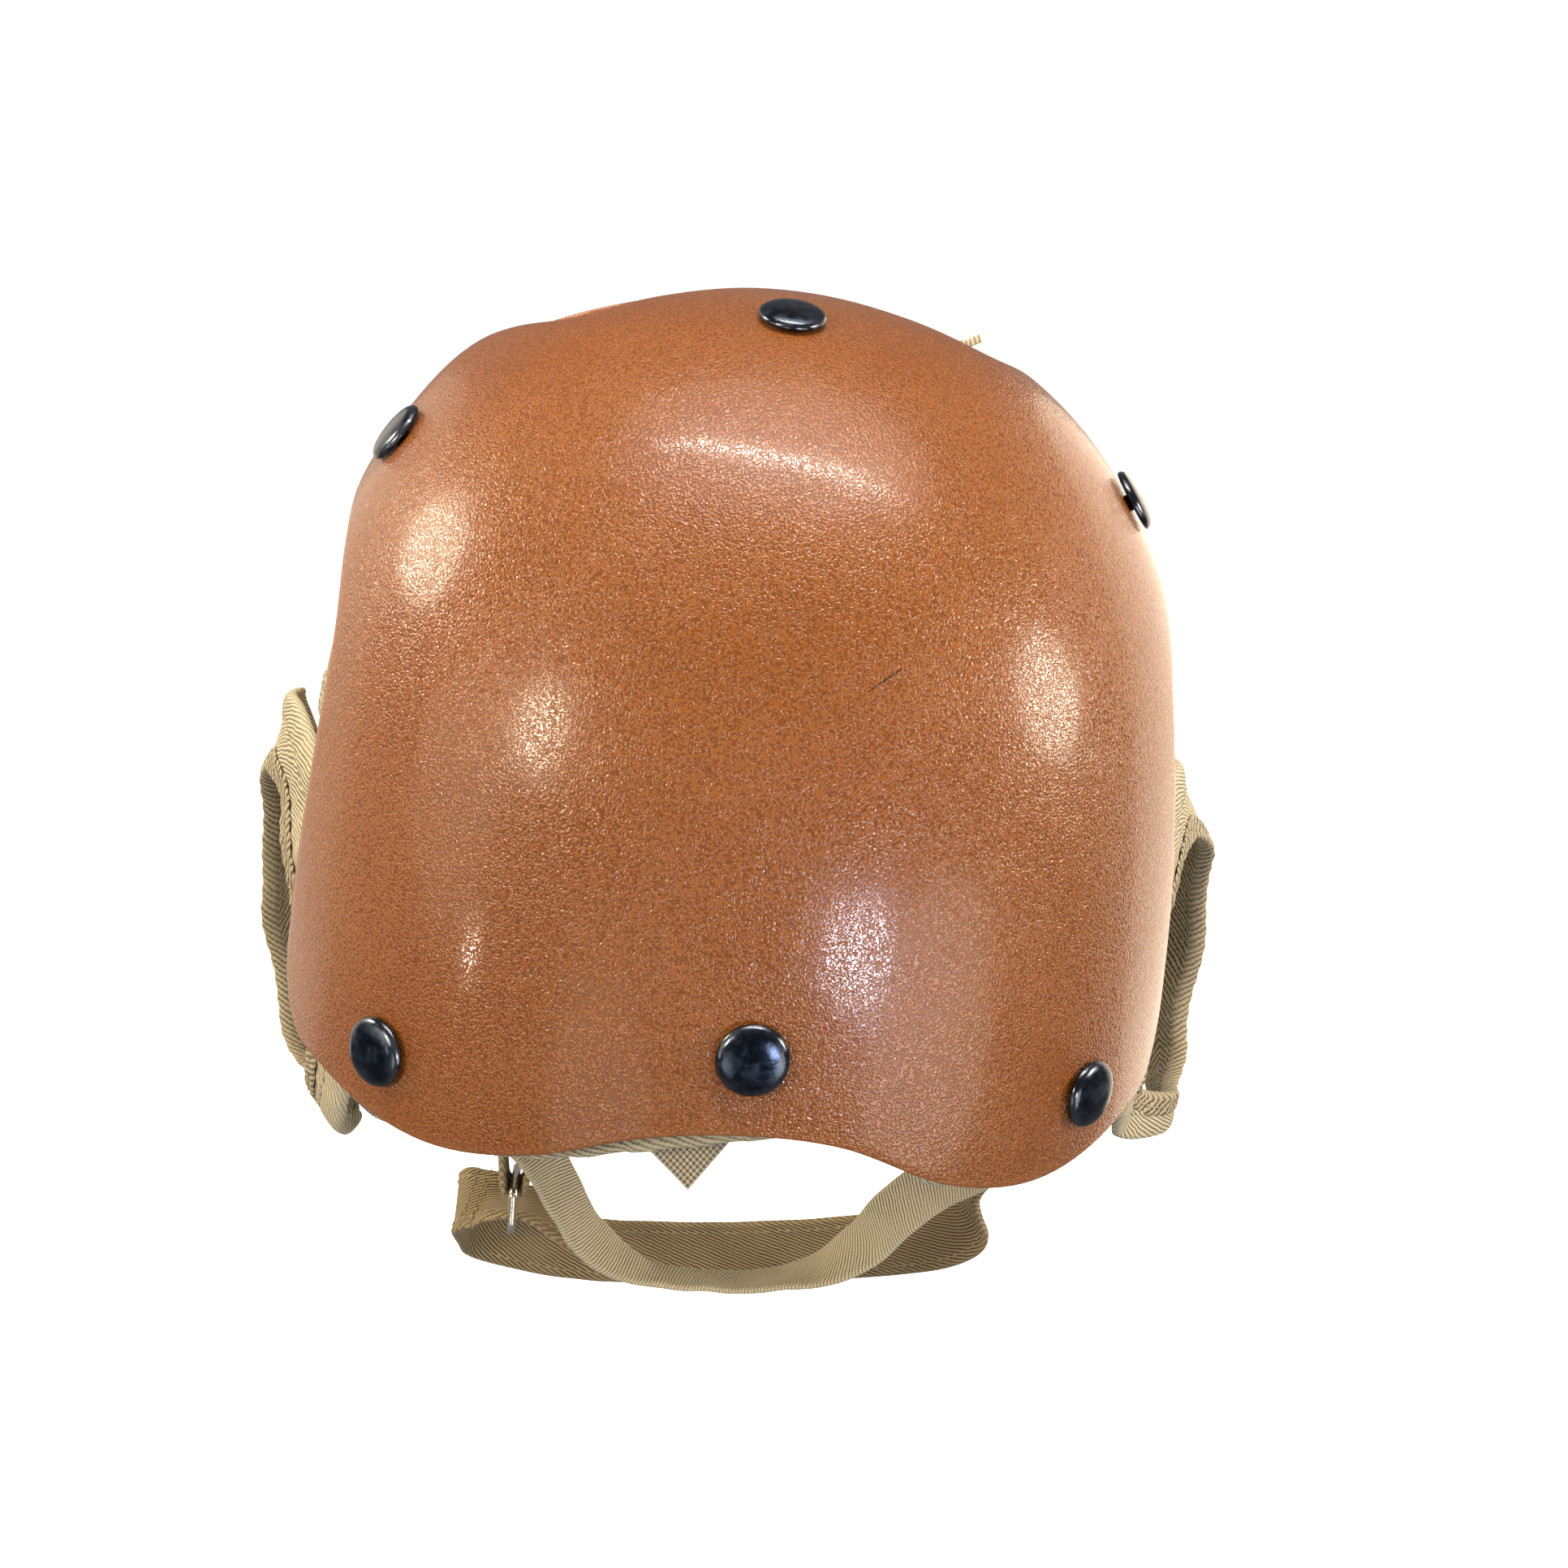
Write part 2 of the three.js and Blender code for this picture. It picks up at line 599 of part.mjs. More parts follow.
// Chin band: the inner band from panel to panel.
const BAND_STEPS = 30;
const BAND_ROWS = [
  { x: 93, y: 24, z: -188, ax: 0, ay: 1, az: 0 },
  { x: 83, y: 18, z: -199, ax: 0.2, ay: 1, az: 0 },
  { x: 68, y: 12, z: -205, ax: 0.4, ay: 0.9, az: 0 },
  { x: 51, y: 7, z: -208, ax: 0.5, ay: 0.8, az: -0.1 },
  { x: 41, y: 3, z: -217, ax: 0.6, ay: 0.75, az: -0.2 },
  { x: 35, y: -1, z: -228, ax: 0.55, ay: 0.8, az: -0.2 },
  { x: 28, y: -6, z: -240, ax: 0.5, ay: 0.8, az: -0.2 },
  { x: 13, y: -14, z: -252, ax: 0.3, ay: 1, az: 0 },
  { x: -10, y: -18, z: -256, ax: 0, ay: 1, az: 0 },
  { x: -33, y: -13, z: -250, ax: -0.3, ay: 1, az: 0 },
  { x: -46, y: -6, z: -239, ax: -0.6, ay: 0.8, az: -0.3 },
  { x: -53, y: -1, z: -228, ax: -0.8, ay: 0.6, az: -0.4 },
  { x: -62, y: 5, z: -217, ax: -0.9, ay: 0.5, az: -0.4 },
  { x: -76, y: 12, z: -207, ax: -0.6, ay: 0.8, az: 0 },
  { x: -92, y: 19, z: -198, ax: -0.2, ay: 1, az: 0 },
  { x: -101, y: 22, z: -188, ax: 0, ay: 1, az: 0 },
];
add('chin_band', bandGeometry(BAND_ROWS, BAND_WIDTH, BAND_THICK, BAND_STEPS), fabric(COLOUR.cloth));

// Ring on its tape below the left panel.
const RING = {
  x: 49,
  y: -28,
  top: -232,
  halfLength: 12.2,
  drop: 13.7,
  wire: 1.1,
  lowerCorner: 3,
  upperCorner: 1,
};
const RING_STEPS = 24;
const RING_WIRE_SIDES = 6;

function ringGeometry() {
  const low = -RING.drop + RING.wire;
  const high = -RING.wire;
  const far = RING.halfLength - RING.wire;
  const lowRound = RING.lowerCorner;
  const highRound = RING.upperCorner;
  const loop = new THREE.Path();
  loop.moveTo(-far + lowRound, low);
  loop.lineTo(far - lowRound, low);
  loop.absarc(far - lowRound, low + lowRound, lowRound, -Math.PI / 2, 0);
  loop.lineTo(far, high - highRound);
  loop.absarc(far - highRound, high - highRound, highRound, 0, Math.PI / 2);
  loop.lineTo(-far + highRound, high);
  loop.absarc(-far + highRound, high - highRound, highRound, Math.PI / 2, Math.PI);
  loop.lineTo(-far, low + lowRound);
  loop.absarc(-far + lowRound, low + lowRound, lowRound, Math.PI, 1.5 * Math.PI);
  const centres = loop.getSpacedPoints(RING_STEPS).slice(0, RING_STEPS);
  const vertices = [];
  const triangles = [];
  centres.forEach((centre, step) => {
    const before = centres[(step + RING_STEPS - 1) % RING_STEPS];
    const after = centres[(step + 1) % RING_STEPS];
    const ahead = after.clone().sub(before).normalize();
    for (let side = 0; side < RING_WIRE_SIDES; side += 1) {
      const turn = 2 * Math.PI * side / RING_WIRE_SIDES;
      const out = RING.wire * Math.cos(turn);
      vertices.push(
        RING.x + RING.wire * Math.sin(turn),
        RING.y + centre.x + out * ahead.y,
        RING.top + centre.y - out * ahead.x,
      );
      const next = (step + 1) % RING_STEPS;
      const a = step * RING_WIRE_SIDES + side;
      const b = step * RING_WIRE_SIDES + (side + 1) % RING_WIRE_SIDES;
      const c = next * RING_WIRE_SIDES + (side + 1) % RING_WIRE_SIDES;
      const d = next * RING_WIRE_SIDES + side;
      triangles.push(a, b, c, a, c, d);
    }
  });
  return bodyFrom(vertices, triangles);
}

add('strap_ring', ringGeometry(), metal(COLOUR.nickel, 0.25));

// The tape goes down from the left panel, under the ring's bar and back up.
const RING_TAPE_STEPS = 32;
const RING_TAPE_ROWS = [
  { x: 99, y: -8, z: -186, ax: 0, ay: 1, az: 0 },
  { x: 90, y: -12, z: -198, ax: 0, ay: 1, az: 0 },
  { x: 76, y: -19, z: -206, ax: 0, ay: 1, az: 0 },
  { x: 62, y: -25, z: -211, ax: 0, ay: 1, az: 0 },
  { x: 54.5, y: -28, z: -217, ax: 0, ay: 1, az: 0 },
  { x: 52.8, y: -28, z: -225, ax: 0, ay: 1, az: 0 },
  { x: 52.2, y: -28, z: -231.5, ax: 0, ay: 1, az: 0 },
  { x: 51.2, y: -28, z: -234.6, ax: 0, ay: 1, az: 0 },
  { x: 49, y: -28, z: -235.6, ax: 0, ay: 1, az: 0 },
  { x: 46.8, y: -28, z: -234.6, ax: 0, ay: 1, az: 0 },
  { x: 45.8, y: -28, z: -231.5, ax: 0, ay: 1, az: 0 },
  { x: 45.4, y: -28, z: -224, ax: 0, ay: 1, az: 0 },
  { x: 47, y: -28, z: -216, ax: 0, ay: 1, az: 0 },
  { x: 55, y: -27, z: -209, ax: 0, ay: 1, az: 0 },
];
add('ring_tape', bandGeometry(RING_TAPE_ROWS, RING_TAPE_WIDTH, RING_TAPE_THICK, RING_TAPE_STEPS), fabric(COLOUR.cloth));

// Webbing tabs: one hangs cornerwise inside the nape, one stands in the gap over the crown.
const NAPE_TAB = { x: 11, tip: -189, inside: 3.2, spread: 0.85, turn: 0.1, lean: -0.12 };

function napeTabGeometry() {
  const middle = NAPE_TAB.tip + TAB_WIDTH * Math.SQRT1_2;
  const y = backAt(NAPE_TAB.x, middle, 0) - NAPE_TAB.inside;
  return new THREE.BoxGeometry(TAB_WIDTH, TAB_THICK, TAB_WIDTH)
    .rotateY(Math.PI / 4)
    .scale(NAPE_TAB.spread, 1, 1)
    .rotateY(NAPE_TAB.turn)
    .rotateX(NAPE_TAB.lean)
    .translate(NAPE_TAB.x, y, middle);
}

add('nape_tab', napeTabGeometry(), fabric(COLOUR.webbing));

const CROWN_TAB_STEPS = 8;
const CROWN_TAB_ROWS = [
  { x: -22, y: 12, z: 2.3, ax: 0, ay: 1, az: 0 },
  { x: -32, y: 12, z: 0.5, ax: 0, ay: 1, az: 0 },
  { x: -40, y: 12, z: -1.6, ax: 0, ay: 1, az: 0 },
  { x: -45, y: 11, z: -1.4, ax: 0, ay: 1, az: 0 },
  { x: -49, y: 10, z: 0.2, ax: 0, ay: 1, az: 0 },
];
add('crown_tab', bandGeometry(CROWN_TAB_ROWS, TAB_WIDTH, TAB_THICK, CROWN_TAB_STEPS), fabric(COLOUR.webbing));

[...BACK_SNAPS, ...FRONT_SNAPS].forEach((snap) => {
  add(snap.name, snapGeometry(snap), metal(COLOUR.snap, 0.35));
});

export default group;
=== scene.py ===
import math
import bpy
import bmesh
import numpy as np
from mathutils import Matrix, Vector


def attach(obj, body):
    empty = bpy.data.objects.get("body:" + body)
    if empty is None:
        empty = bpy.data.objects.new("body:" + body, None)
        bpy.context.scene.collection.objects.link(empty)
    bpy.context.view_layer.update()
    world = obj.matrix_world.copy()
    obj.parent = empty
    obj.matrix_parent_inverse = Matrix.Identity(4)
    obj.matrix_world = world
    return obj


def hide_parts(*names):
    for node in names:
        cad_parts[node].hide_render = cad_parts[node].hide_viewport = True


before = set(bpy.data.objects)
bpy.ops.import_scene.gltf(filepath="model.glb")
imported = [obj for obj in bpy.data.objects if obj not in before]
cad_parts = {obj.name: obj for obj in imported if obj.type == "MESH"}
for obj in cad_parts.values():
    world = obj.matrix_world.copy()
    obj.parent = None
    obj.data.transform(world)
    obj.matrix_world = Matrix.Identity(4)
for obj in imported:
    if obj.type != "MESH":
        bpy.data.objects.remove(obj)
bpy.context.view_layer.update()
mm = 0.001               # tables below are in millimetres, meshes in metres


# Colour and shader nodes

def paint(code):
    channels = [int(code[start:start + 2], 16) / 255 for start in (1, 3, 5)]
    linear = [c / 12.92 if c <= 0.04045 else ((c + 0.055) / 1.055) ** 2.4 for c in channels]
    return (*linear, 1.0)


def addNode(tree, kind, inputs=None, **settings):
    node = tree.nodes.new(kind)
    for name, value in settings.items():
        setattr(node, name, value)
    for key, value in (inputs or {}).items():
        if isinstance(value, bpy.types.NodeSocket):
            tree.links.new(value, node.inputs[key])
        else:
            node.inputs[key].default_value = value
    return node


def newMaterial(name, shader):
    material = bpy.data.materials.new(name)
    material.use_nodes = True
    tree = material.node_tree
    tree.nodes.clear()
    surface = addNode(tree, "ShaderNodeBsdfPrincipled", shader)
    addNode(tree, "ShaderNodeOutputMaterial", {"Surface": surface.outputs[0]})
    return material, tree, surface


def mixColours(tree, factor, first, second):
    mixed = addNode(tree, "ShaderNodeMix", {"Factor": factor}, data_type="RGBA")
    for socket, value in ((mixed.inputs[6], first), (mixed.inputs[7], second)):
        if isinstance(value, bpy.types.NodeSocket):
            tree.links.new(value, socket)
        else:
            socket.default_value = value
    return mixed.outputs[2]


def ranged(tree, value, fromLow, fromHigh, toLow=0.0, toHigh=1.0):
    names = {"Value": value, "From Min": fromLow, "From Max": fromHigh, "To Min": toLow, "To Max": toHigh}
    return addNode(tree, "ShaderNodeMapRange", names, interpolation_type="SMOOTHSTEP").outputs["Result"]


def calc(tree, operation, *values):
    return addNode(tree, "ShaderNodeMath", dict(enumerate(values)), operation=operation).outputs[0]


def inMillimetres(tree, output):
    return addNode(tree, "ShaderNodeMapping", {"Vector": output, "Scale": (1000, 1000, 1000)}).outputs[0]


# Head form that every layer follows, the same as in the solids

form = {
    "halfWidth": 104, "halfLength": 107, "rise": 128, "fall": 167,
    "planPower": 2.25, "sidePower": 2.38,
    "cloth": 2.2, "shellOutside": 8.4,      # lifts of the outer faces
    "fineTurns": 2881,                      # steps once round, before a line is spaced evenly
}


def onForm(directions, lift):
    d = np.asarray(directions, float)
    lift = np.asarray(lift, float)
    rise = np.where(d[..., 2] >= 0, form["rise"], form["fall"]) + lift
    plan = (np.abs(d[..., 0]) / (form["halfWidth"] + lift)) ** form["planPower"]
    plan = plan + (np.abs(d[..., 1]) / (form["halfLength"] + lift)) ** form["planPower"]
    plan = plan ** (form["sidePower"] / form["planPower"])
    total = plan + (np.abs(d[..., 2]) / rise) ** form["sidePower"]
    points = d * (total ** (-1 / form["sidePower"]))[..., None]
    points[..., 2] -= form["rise"]
    return points


def levelShare(level, lift):
    rise = np.where(level >= -form["rise"], form["rise"], form["fall"]) + lift
    return (np.abs(level + form["rise"]) / rise) ** form["sidePower"]


def sideAt(lengthwise, level, lift):
    plan = np.clip(1 - levelShare(level, lift), 0, 1) ** (form["planPower"] / form["sidePower"])
    rest = plan - (np.abs(lengthwise) / (form["halfLength"] + lift)) ** form["planPower"]
    return (form["halfWidth"] + lift) * np.clip(rest, 0, None) ** (1 / form["planPower"])


def backAt(across, level, lift):
    plan = np.clip(1 - levelShare(level, lift), 0, 1) ** (form["planPower"] / form["sidePower"])
    rest = plan - (np.abs(across) / (form["halfWidth"] + lift)) ** form["planPower"]
    return (form["halfLength"] + lift) * np.clip(rest, 0, None) ** (1 / form["planPower"])


def dropTo(turn, level, lift):
    plan = np.clip(1 - levelShare(level, lift), 0, 1) ** (1 / form["sidePower"])
    flat = (np.abs(np.sin(turn)) / (form["halfWidth"] + lift)) ** form["planPower"]
    flat = flat + (np.abs(np.cos(turn)) / (form["halfLength"] + lift)) ** form["planPower"]
    return np.arctan2(plan * flat ** (-1 / form["planPower"]), level + form["rise"])


def formValue(points, lift):
    plan = (np.abs(points[..., 0]) / (form["halfWidth"] + lift)) ** form["planPower"]
    plan = plan + (np.abs(points[..., 1]) / (form["halfLength"] + lift)) ** form["planPower"]
    return plan ** (form["sidePower"] / form["planPower"]) + levelShare(points[..., 2], lift)


def outwardAt(points, lift):
    slopes = []
    for axis in range(3):
        step = np.zeros(3)
        step[axis] = 0.01
        slopes.append(formValue(points + step, lift) - formValue(points - step, lift))
    outward = np.stack(slopes, axis=-1)
    return outward / np.linalg.norm(outward, axis=-1, keepdims=True)


# Curves, tables and meshes

def easedTable(keys, values, place):
    keys, values = np.asarray(keys, float), np.asarray(values, float)
    index = np.clip(np.searchsorted(keys, place, side="left"), 1, len(keys) - 1)
    part = np.clip((place - keys[index - 1]) / (keys[index] - keys[index - 1]), 0, 1)
    part = part * part * (3 - 2 * part)
    return values[index - 1] + (values[index] - values[index - 1]) * part


def catmullRom(points, perSpan, closed=False):
    p = np.asarray(points, float)
    if closed:
        p = np.vstack([p[-1], p, p[0], p[1]])
    else:
        p = np.vstack([2 * p[0] - p[1], p, 2 * p[-1] - p[-2]])
    rows = []
    for i in range(1, len(p) - 2):
        gaps = [max(np.linalg.norm(p[i + k + 1] - p[i + k]), 1e-6) ** 0.5 for k in (-1, 0, 1)]
        t0, t1, t2, t3 = 0, gaps[0], gaps[0] + gaps[1], sum(gaps)
        for t in np.linspace(t1, t2, perSpan, endpoint=False):
            a1 = (t1 - t) / (t1 - t0) * p[i - 1] + (t - t0) / (t1 - t0) * p[i]
            a2 = (t2 - t) / (t2 - t1) * p[i] + (t - t1) / (t2 - t1) * p[i + 1]
            a3 = (t3 - t) / (t3 - t2) * p[i + 1] + (t - t2) / (t3 - t2) * p[i + 2]
            b1 = (t2 - t) / (t2 - t0) * a1 + (t - t0) / (t2 - t0) * a2
            b2 = (t3 - t) / (t3 - t1) * a2 + (t - t1) / (t3 - t1) * a3
            rows.append((t2 - t) / (t2 - t1) * b1 + (t - t1) / (t2 - t1) * b2)
    if not closed:
        rows.append(p[-2])
    return np.array(rows)


def lengthsAlong(points):
    return np.concatenate([[0], np.cumsum(np.linalg.norm(np.diff(points, axis=0), axis=1))])


def evenly(points, count, closed=False):
    p = np.vstack([points, points[:1]]) if closed else points
    length = lengthsAlong(p)
    places = np.linspace(0, length[-1], count, endpoint=not closed)
    return np.stack([np.interp(places, length, p[:, axis]) for axis in range(p.shape[1])], axis=1)


def ripple(points, wavelength, height, seed):     # a few crossing waves, the same each run
    dice = np.random.default_rng(seed)
    waves = np.zeros(points.shape[:-1])
    for _ in range(7):
        way = dice.normal(size=3)
        way *= 2 * math.pi / (wavelength * dice.uniform(0.6, 1.6)) / np.linalg.norm(way)
        waves += np.sin(points @ way + dice.uniform(0, 2 * math.pi))
    return waves * height / 3


def gridPiece(name, grid, uv, wrapRows=False, wrapColumns=False, endCaps=False, wearAndWeaveShade=None):
    rows, columns = grid.shape[:2]
    rowSpans = rows if wrapRows else rows - 1
    columnSpans = columns if wrapColumns else columns - 1
    r, c = np.meshgrid(np.arange(rowSpans), np.arange(columnSpans), indexing="ij")
    corners = [(r, c), (r + 1, c), (r + 1, c + 1), (r, c + 1)]
    faces = np.stack([(a % rows) * columns + b % columns for a, b in corners], axis=-1).reshape(-1, 4)
    uvs = np.stack([uv[a, b] for a, b in corners], axis=2).reshape(-1, 2) * mm
    mesh = bpy.data.meshes.new(name)
    mesh.from_pydata((grid.reshape(-1, 3) * mm).tolist(), [], faces.tolist())
    mesh.uv_layers.new(name="cloth").data.foreach_set("uv", uvs.ravel())
    # Per point: wear at edges and seams, or on webbing the weave's height, which paints shade between the
    # threads.
    if wearAndWeaveShade is not None:
        values = np.broadcast_to(wearAndWeaveShade, grid.shape[:2]).astype(float).ravel()
        mesh.attributes.new("wearAndWeaveShade", "FLOAT", "POINT").data.foreach_set("value", values)
    work = bmesh.new()
    work.from_mesh(mesh)
    bmesh.ops.remove_doubles(work, verts=work.verts, dist=1e-6)
    if endCaps:
        bmesh.ops.holes_fill(work, edges=[edge for edge in work.edges if edge.is_boundary], sides=0)
    bmesh.ops.recalc_face_normals(work, faces=work.faces)
    work.to_mesh(mesh)
    work.free()
    mesh.polygons.foreach_set("use_smooth", [True] * len(mesh.polygons))
    piece = bpy.data.objects.new(name, mesh)
    bpy.context.collection.objects.link(piece)
    return piece


def flatUv(rowPlaces, columnPlaces):              # lengths along rows and columns
    u, v = np.meshgrid(columnPlaces, rowPlaces)
    return np.stack([u, v], axis=-1)


def dress(piece, material, slotName, *nodes):
    piece.data.materials.append(material)
    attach(piece, "root")
    if nodes:
        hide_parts(*nodes)
    print("made", piece.name, len(piece.data.polygons), "faces")
    return piece


# Materials: lengths in millimetres, so the scale of a noise is one over its size

shellLook = {
    # The darkest colour is painted shade for the grain's valleys, and the valley share sets how much of it
    # is painted.
    "base": "#985620", "light": "#A56532", "grooveShade": "#4E240C", "rim": "#B67A4E",
    "grain": 0.52,         # moulded grain: its ridges are 1.1 mm apart
    "height": 0.075, "roughness": 0.13, "gloss": 0.65,
    "valleyShadeShare": 0.52, "rimShare": 0.45, "pitShare": 0.1,
    "scratch": ((-23.4, 108.9, -76.6), (-17.1, 110.8, -81.4)),
    "scratchWidth": 0.3, "scratchColour": "#2A140A", "scratchShare": 0.8,
}


def nearLine(tree, place, start, end):            # millimetres from the line between two points
    ahead = np.subtract(end, start)
    offset = addNode(tree, "ShaderNodeVectorMath", {0: place, 1: start}, operation="SUBTRACT").outputs[0]
    share = addNode(tree, "ShaderNodeVectorMath", {0: offset, 1: tuple(ahead / (ahead @ ahead))},
                    operation="DOT_PRODUCT").outputs["Value"]
    share = addNode(tree, "ShaderNodeClamp", {"Value": share}).outputs[0]
    foot = addNode(tree, "ShaderNodeVectorMath", {0: tuple(ahead), "Scale": share}, operation="SCALE")
    apart = addNode(tree, "ShaderNodeVectorMath", {0: offset, 1: foot.outputs[0]}, operation="DISTANCE")
    return apart.outputs["Value"]


def makeShellPlastic():
    # Injection-moulded polyethylene with a haircell grain: satin, warm, with broken highlights, and painted
    # shade in the grain's valleys.
    look = shellLook
    material, tree, surface = newMaterial("mouldedPolyethylene", {
        "IOR": 1.5, "Roughness": look["roughness"], "Specular IOR Level": look["gloss"]})
    place = inMillimetres(tree, addNode(tree, "ShaderNodeTexCoord").outputs["Object"])
    worms = addNode(tree, "ShaderNodeTexNoise", {
        "Vector": place, "Scale": 1 / look["grain"], "Detail": 0.0, "Distortion": 0.5})
    ridges = ranged(tree, worms.outputs[0], 0.32, 0.68)
    pits = addNode(tree, "ShaderNodeTexNoise", {"Vector": place, "Scale": 2.4, "Detail": 1.0})
    blotches = addNode(tree, "ShaderNodeTexNoise", {"Vector": place, "Scale": 0.03, "Detail": 3.0})
    clouds = ranged(tree, blotches.outputs[0], 0.3, 0.75, 0.0, 0.55)
    tone = mixColours(tree, clouds, paint(look["base"]), paint(look["light"]))
    # Painted shade: the grain's valleys are coloured towards the darkest colour.
    paintedValleyShade = calc(tree, "SUBTRACT", 1.0, ridges)
    tone = mixColours(tree, calc(tree, "MULTIPLY", paintedValleyShade, look["valleyShadeShare"]), tone, paint(look["grooveShade"]))
    wearAndWeaveShade = addNode(tree, "ShaderNodeAttribute", attribute_name="wearAndWeaveShade").outputs["Fac"]
    tone = mixColours(tree, calc(tree, "MULTIPLY", wearAndWeaveShade, look["rimShare"]), tone, paint(look["rim"]))
    away = calc(tree, "ADD", nearLine(tree, place, *look["scratch"]),
                calc(tree, "MULTIPLY_ADD", pits.outputs[0], 0.5, -0.25))
    scratch = ranged(tree, away, look["scratchWidth"] * 0.4, look["scratchWidth"], 1.0, 0.0)
    scratch = calc(tree, "MULTIPLY", scratch, look["scratchShare"])
    tone = mixColours(tree, scratch, tone, paint(look["scratchColour"]))
    tree.links.new(tone, surface.inputs["Base Color"])
    rough = ranged(tree, blotches.outputs[0], 0.3, 0.7, look["roughness"] - 0.03, look["roughness"] + 0.05)
    tree.links.new(rough, surface.inputs["Roughness"])
    height = calc(tree, "ADD", ridges, calc(tree, "MULTIPLY", pits.outputs[0], look["pitShare"]))
    bump = addNode(tree, "ShaderNodeBump", {
        "Height": height, "Strength": 1.0, "Distance": look["height"] * mm})
    tree.links.new(bump.outputs[0], surface.inputs["Normal"])
    return material


clothLooks = {            # pitch of the ribs in mm, their angle to the width of the cloth in degrees
    # Each cloth's darkest colour is painted shade in its rib grooves; its lightest colour is painted on the
    # rib crests as a highlight and also shows fading and wear.
    "cap": {"light": "#CFC49D", "mid": "#A1966F", "grooveShade": "#554E38", "pitch": 0.85, "angle": 62},
    "panel": {"light": "#DCCFAE", "mid": "#AC9F80", "grooveShade": "#564B39", "pitch": 0.9, "angle": 64},
    "binding": {"light": "#D6CBA8", "mid": "#A5987A", "grooveShade": "#46382C", "pitch": 1.35, "angle": 62},
    "strap": {"light": "#B29D76", "mid": "#7C694B", "grooveShade": "#372C1E", "pitch": 0.95, "angle": 24},
    "herringbone": {"light": "#C2B292", "mid": "#83745A", "grooveShade": "#372E20", "pitch": 1.6, "angle": 50,
                    "column": 6.5},      # width of one column before the ribs turn back
}
weaveLook = {"rib": 0.72, "bead": 0.16, "fibre": 0.25, "slub": 5.0, "beadPitch": 1.3, "wornShare": 0.4}


def makeCloth(name, look, weaveHeight=0.26):
    # Woven cotton: matt, diagonal ribs that catch the light, with painted shade in their grooves and a
    # painted highlight on their crests; threads lighter where they rub.
    material, tree, surface = newMaterial(name, {
        "Roughness": 0.9, "Specular IOR Level": 0.25, "Sheen Weight": 0.12, "Sheen Roughness": 0.5})
    cloth = inMillimetres(tree, addNode(tree, "ShaderNodeUVMap", uv_map="cloth").outputs[0])
    place = inMillimetres(tree, addNode(tree, "ShaderNodeTexCoord").outputs["Object"])
    slub = addNode(tree, "ShaderNodeTexNoise", {"Vector": cloth, "Scale": 0.35, "Detail": 3.0})
    fibres = addNode(tree, "ShaderNodeTexNoise", {
        "Vector": cloth, "Scale": 3.2, "Detail": 3.0, "Roughness": 0.65})
    fading = addNode(tree, "ShaderNodeTexNoise", {
        "Vector": place, "Scale": 0.05, "Detail": 4.0, "Roughness": 0.6})
    parts = addNode(tree, "ShaderNodeSeparateXYZ", {0: cloth})
    across, along = parts.outputs[0], parts.outputs[1]
    if "column" in look:
        across = calc(tree, "PINGPONG", across, look["column"])
    turn = math.radians(look["angle"])
    around = 2 * math.pi / look["pitch"]
    phase = calc(tree, "ADD", calc(tree, "MULTIPLY", across, math.cos(turn) * around),
                 calc(tree, "MULTIPLY", along, math.sin(turn) * around))
    phase = calc(tree, "ADD", phase, calc(tree, "MULTIPLY", slub.outputs[0], weaveLook["slub"]))
    rib = calc(tree, "MULTIPLY_ADD", calc(tree, "SINE", phase), 0.5, 0.5)
    finer = around * weaveLook["beadPitch"]
    cross = calc(tree, "SUBTRACT", calc(tree, "MULTIPLY", along, math.cos(turn) * finer),
                 calc(tree, "MULTIPLY", across, math.sin(turn) * finer))
    beads = calc(tree, "MULTIPLY_ADD", calc(tree, "SINE", cross), 0.5, 0.5)
    lit = calc(tree, "ADD", calc(tree, "MULTIPLY", rib, weaveLook["rib"]),
               calc(tree, "MULTIPLY", beads, weaveLook["bead"]))
    lit = calc(tree, "ADD", lit, calc(tree, "MULTIPLY", fibres.outputs[0], weaveLook["fibre"]))
    # Painted shade in the rib grooves and a painted highlight on the rib crests, following the ribs.
    tone = mixColours(tree, ranged(tree, lit, 0.15, 0.45), paint(look["grooveShade"]), paint(look["mid"]))
    tone = mixColours(tree, ranged(tree, lit, 0.35, 0.8), tone, paint(look["light"]))
    faded = ranged(tree, fading.outputs[0], 0.42, 0.72, 0.0, 0.25)
    tone = mixColours(tree, faded, tone, paint(look["light"]))
    wearAndWeaveShade = addNode(tree, "ShaderNodeAttribute", attribute_name="wearAndWeaveShade").outputs["Fac"]
    worn = calc(tree, "MULTIPLY", wearAndWeaveShade, weaveLook["wornShare"])
    tone = mixColours(tree, worn, tone, paint(look["light"]))
    tree.links.new(tone, surface.inputs["Base Color"])
    bump = addNode(tree, "ShaderNodeBump", {"Height": lit, "Strength": 0.9, "Distance": weaveHeight * mm})
    tree.links.new(bump.outputs[0], surface.inputs["Normal"])
    return material


def makeThread():
    # Cotton sewing thread: matt, a little lighter than the cloth it holds.
    material, tree, surface = newMaterial("cottonThread", {
        "Roughness": 0.85, "Specular IOR Level": 0.3, "Sheen Weight": 0.2})
    place = inMillimetres(tree, addNode(tree, "ShaderNodeTexCoord").outputs["Object"])
    twist = addNode(tree, "ShaderNodeTexNoise", {"Vector": place, "Scale": 1.6, "Detail": 2.0})
    tone = mixColours(tree, twist.outputs[0], paint("#7C7254"), paint("#C3B68F"))
    tree.links.new(tone, surface.inputs["Base Color"])
    return material


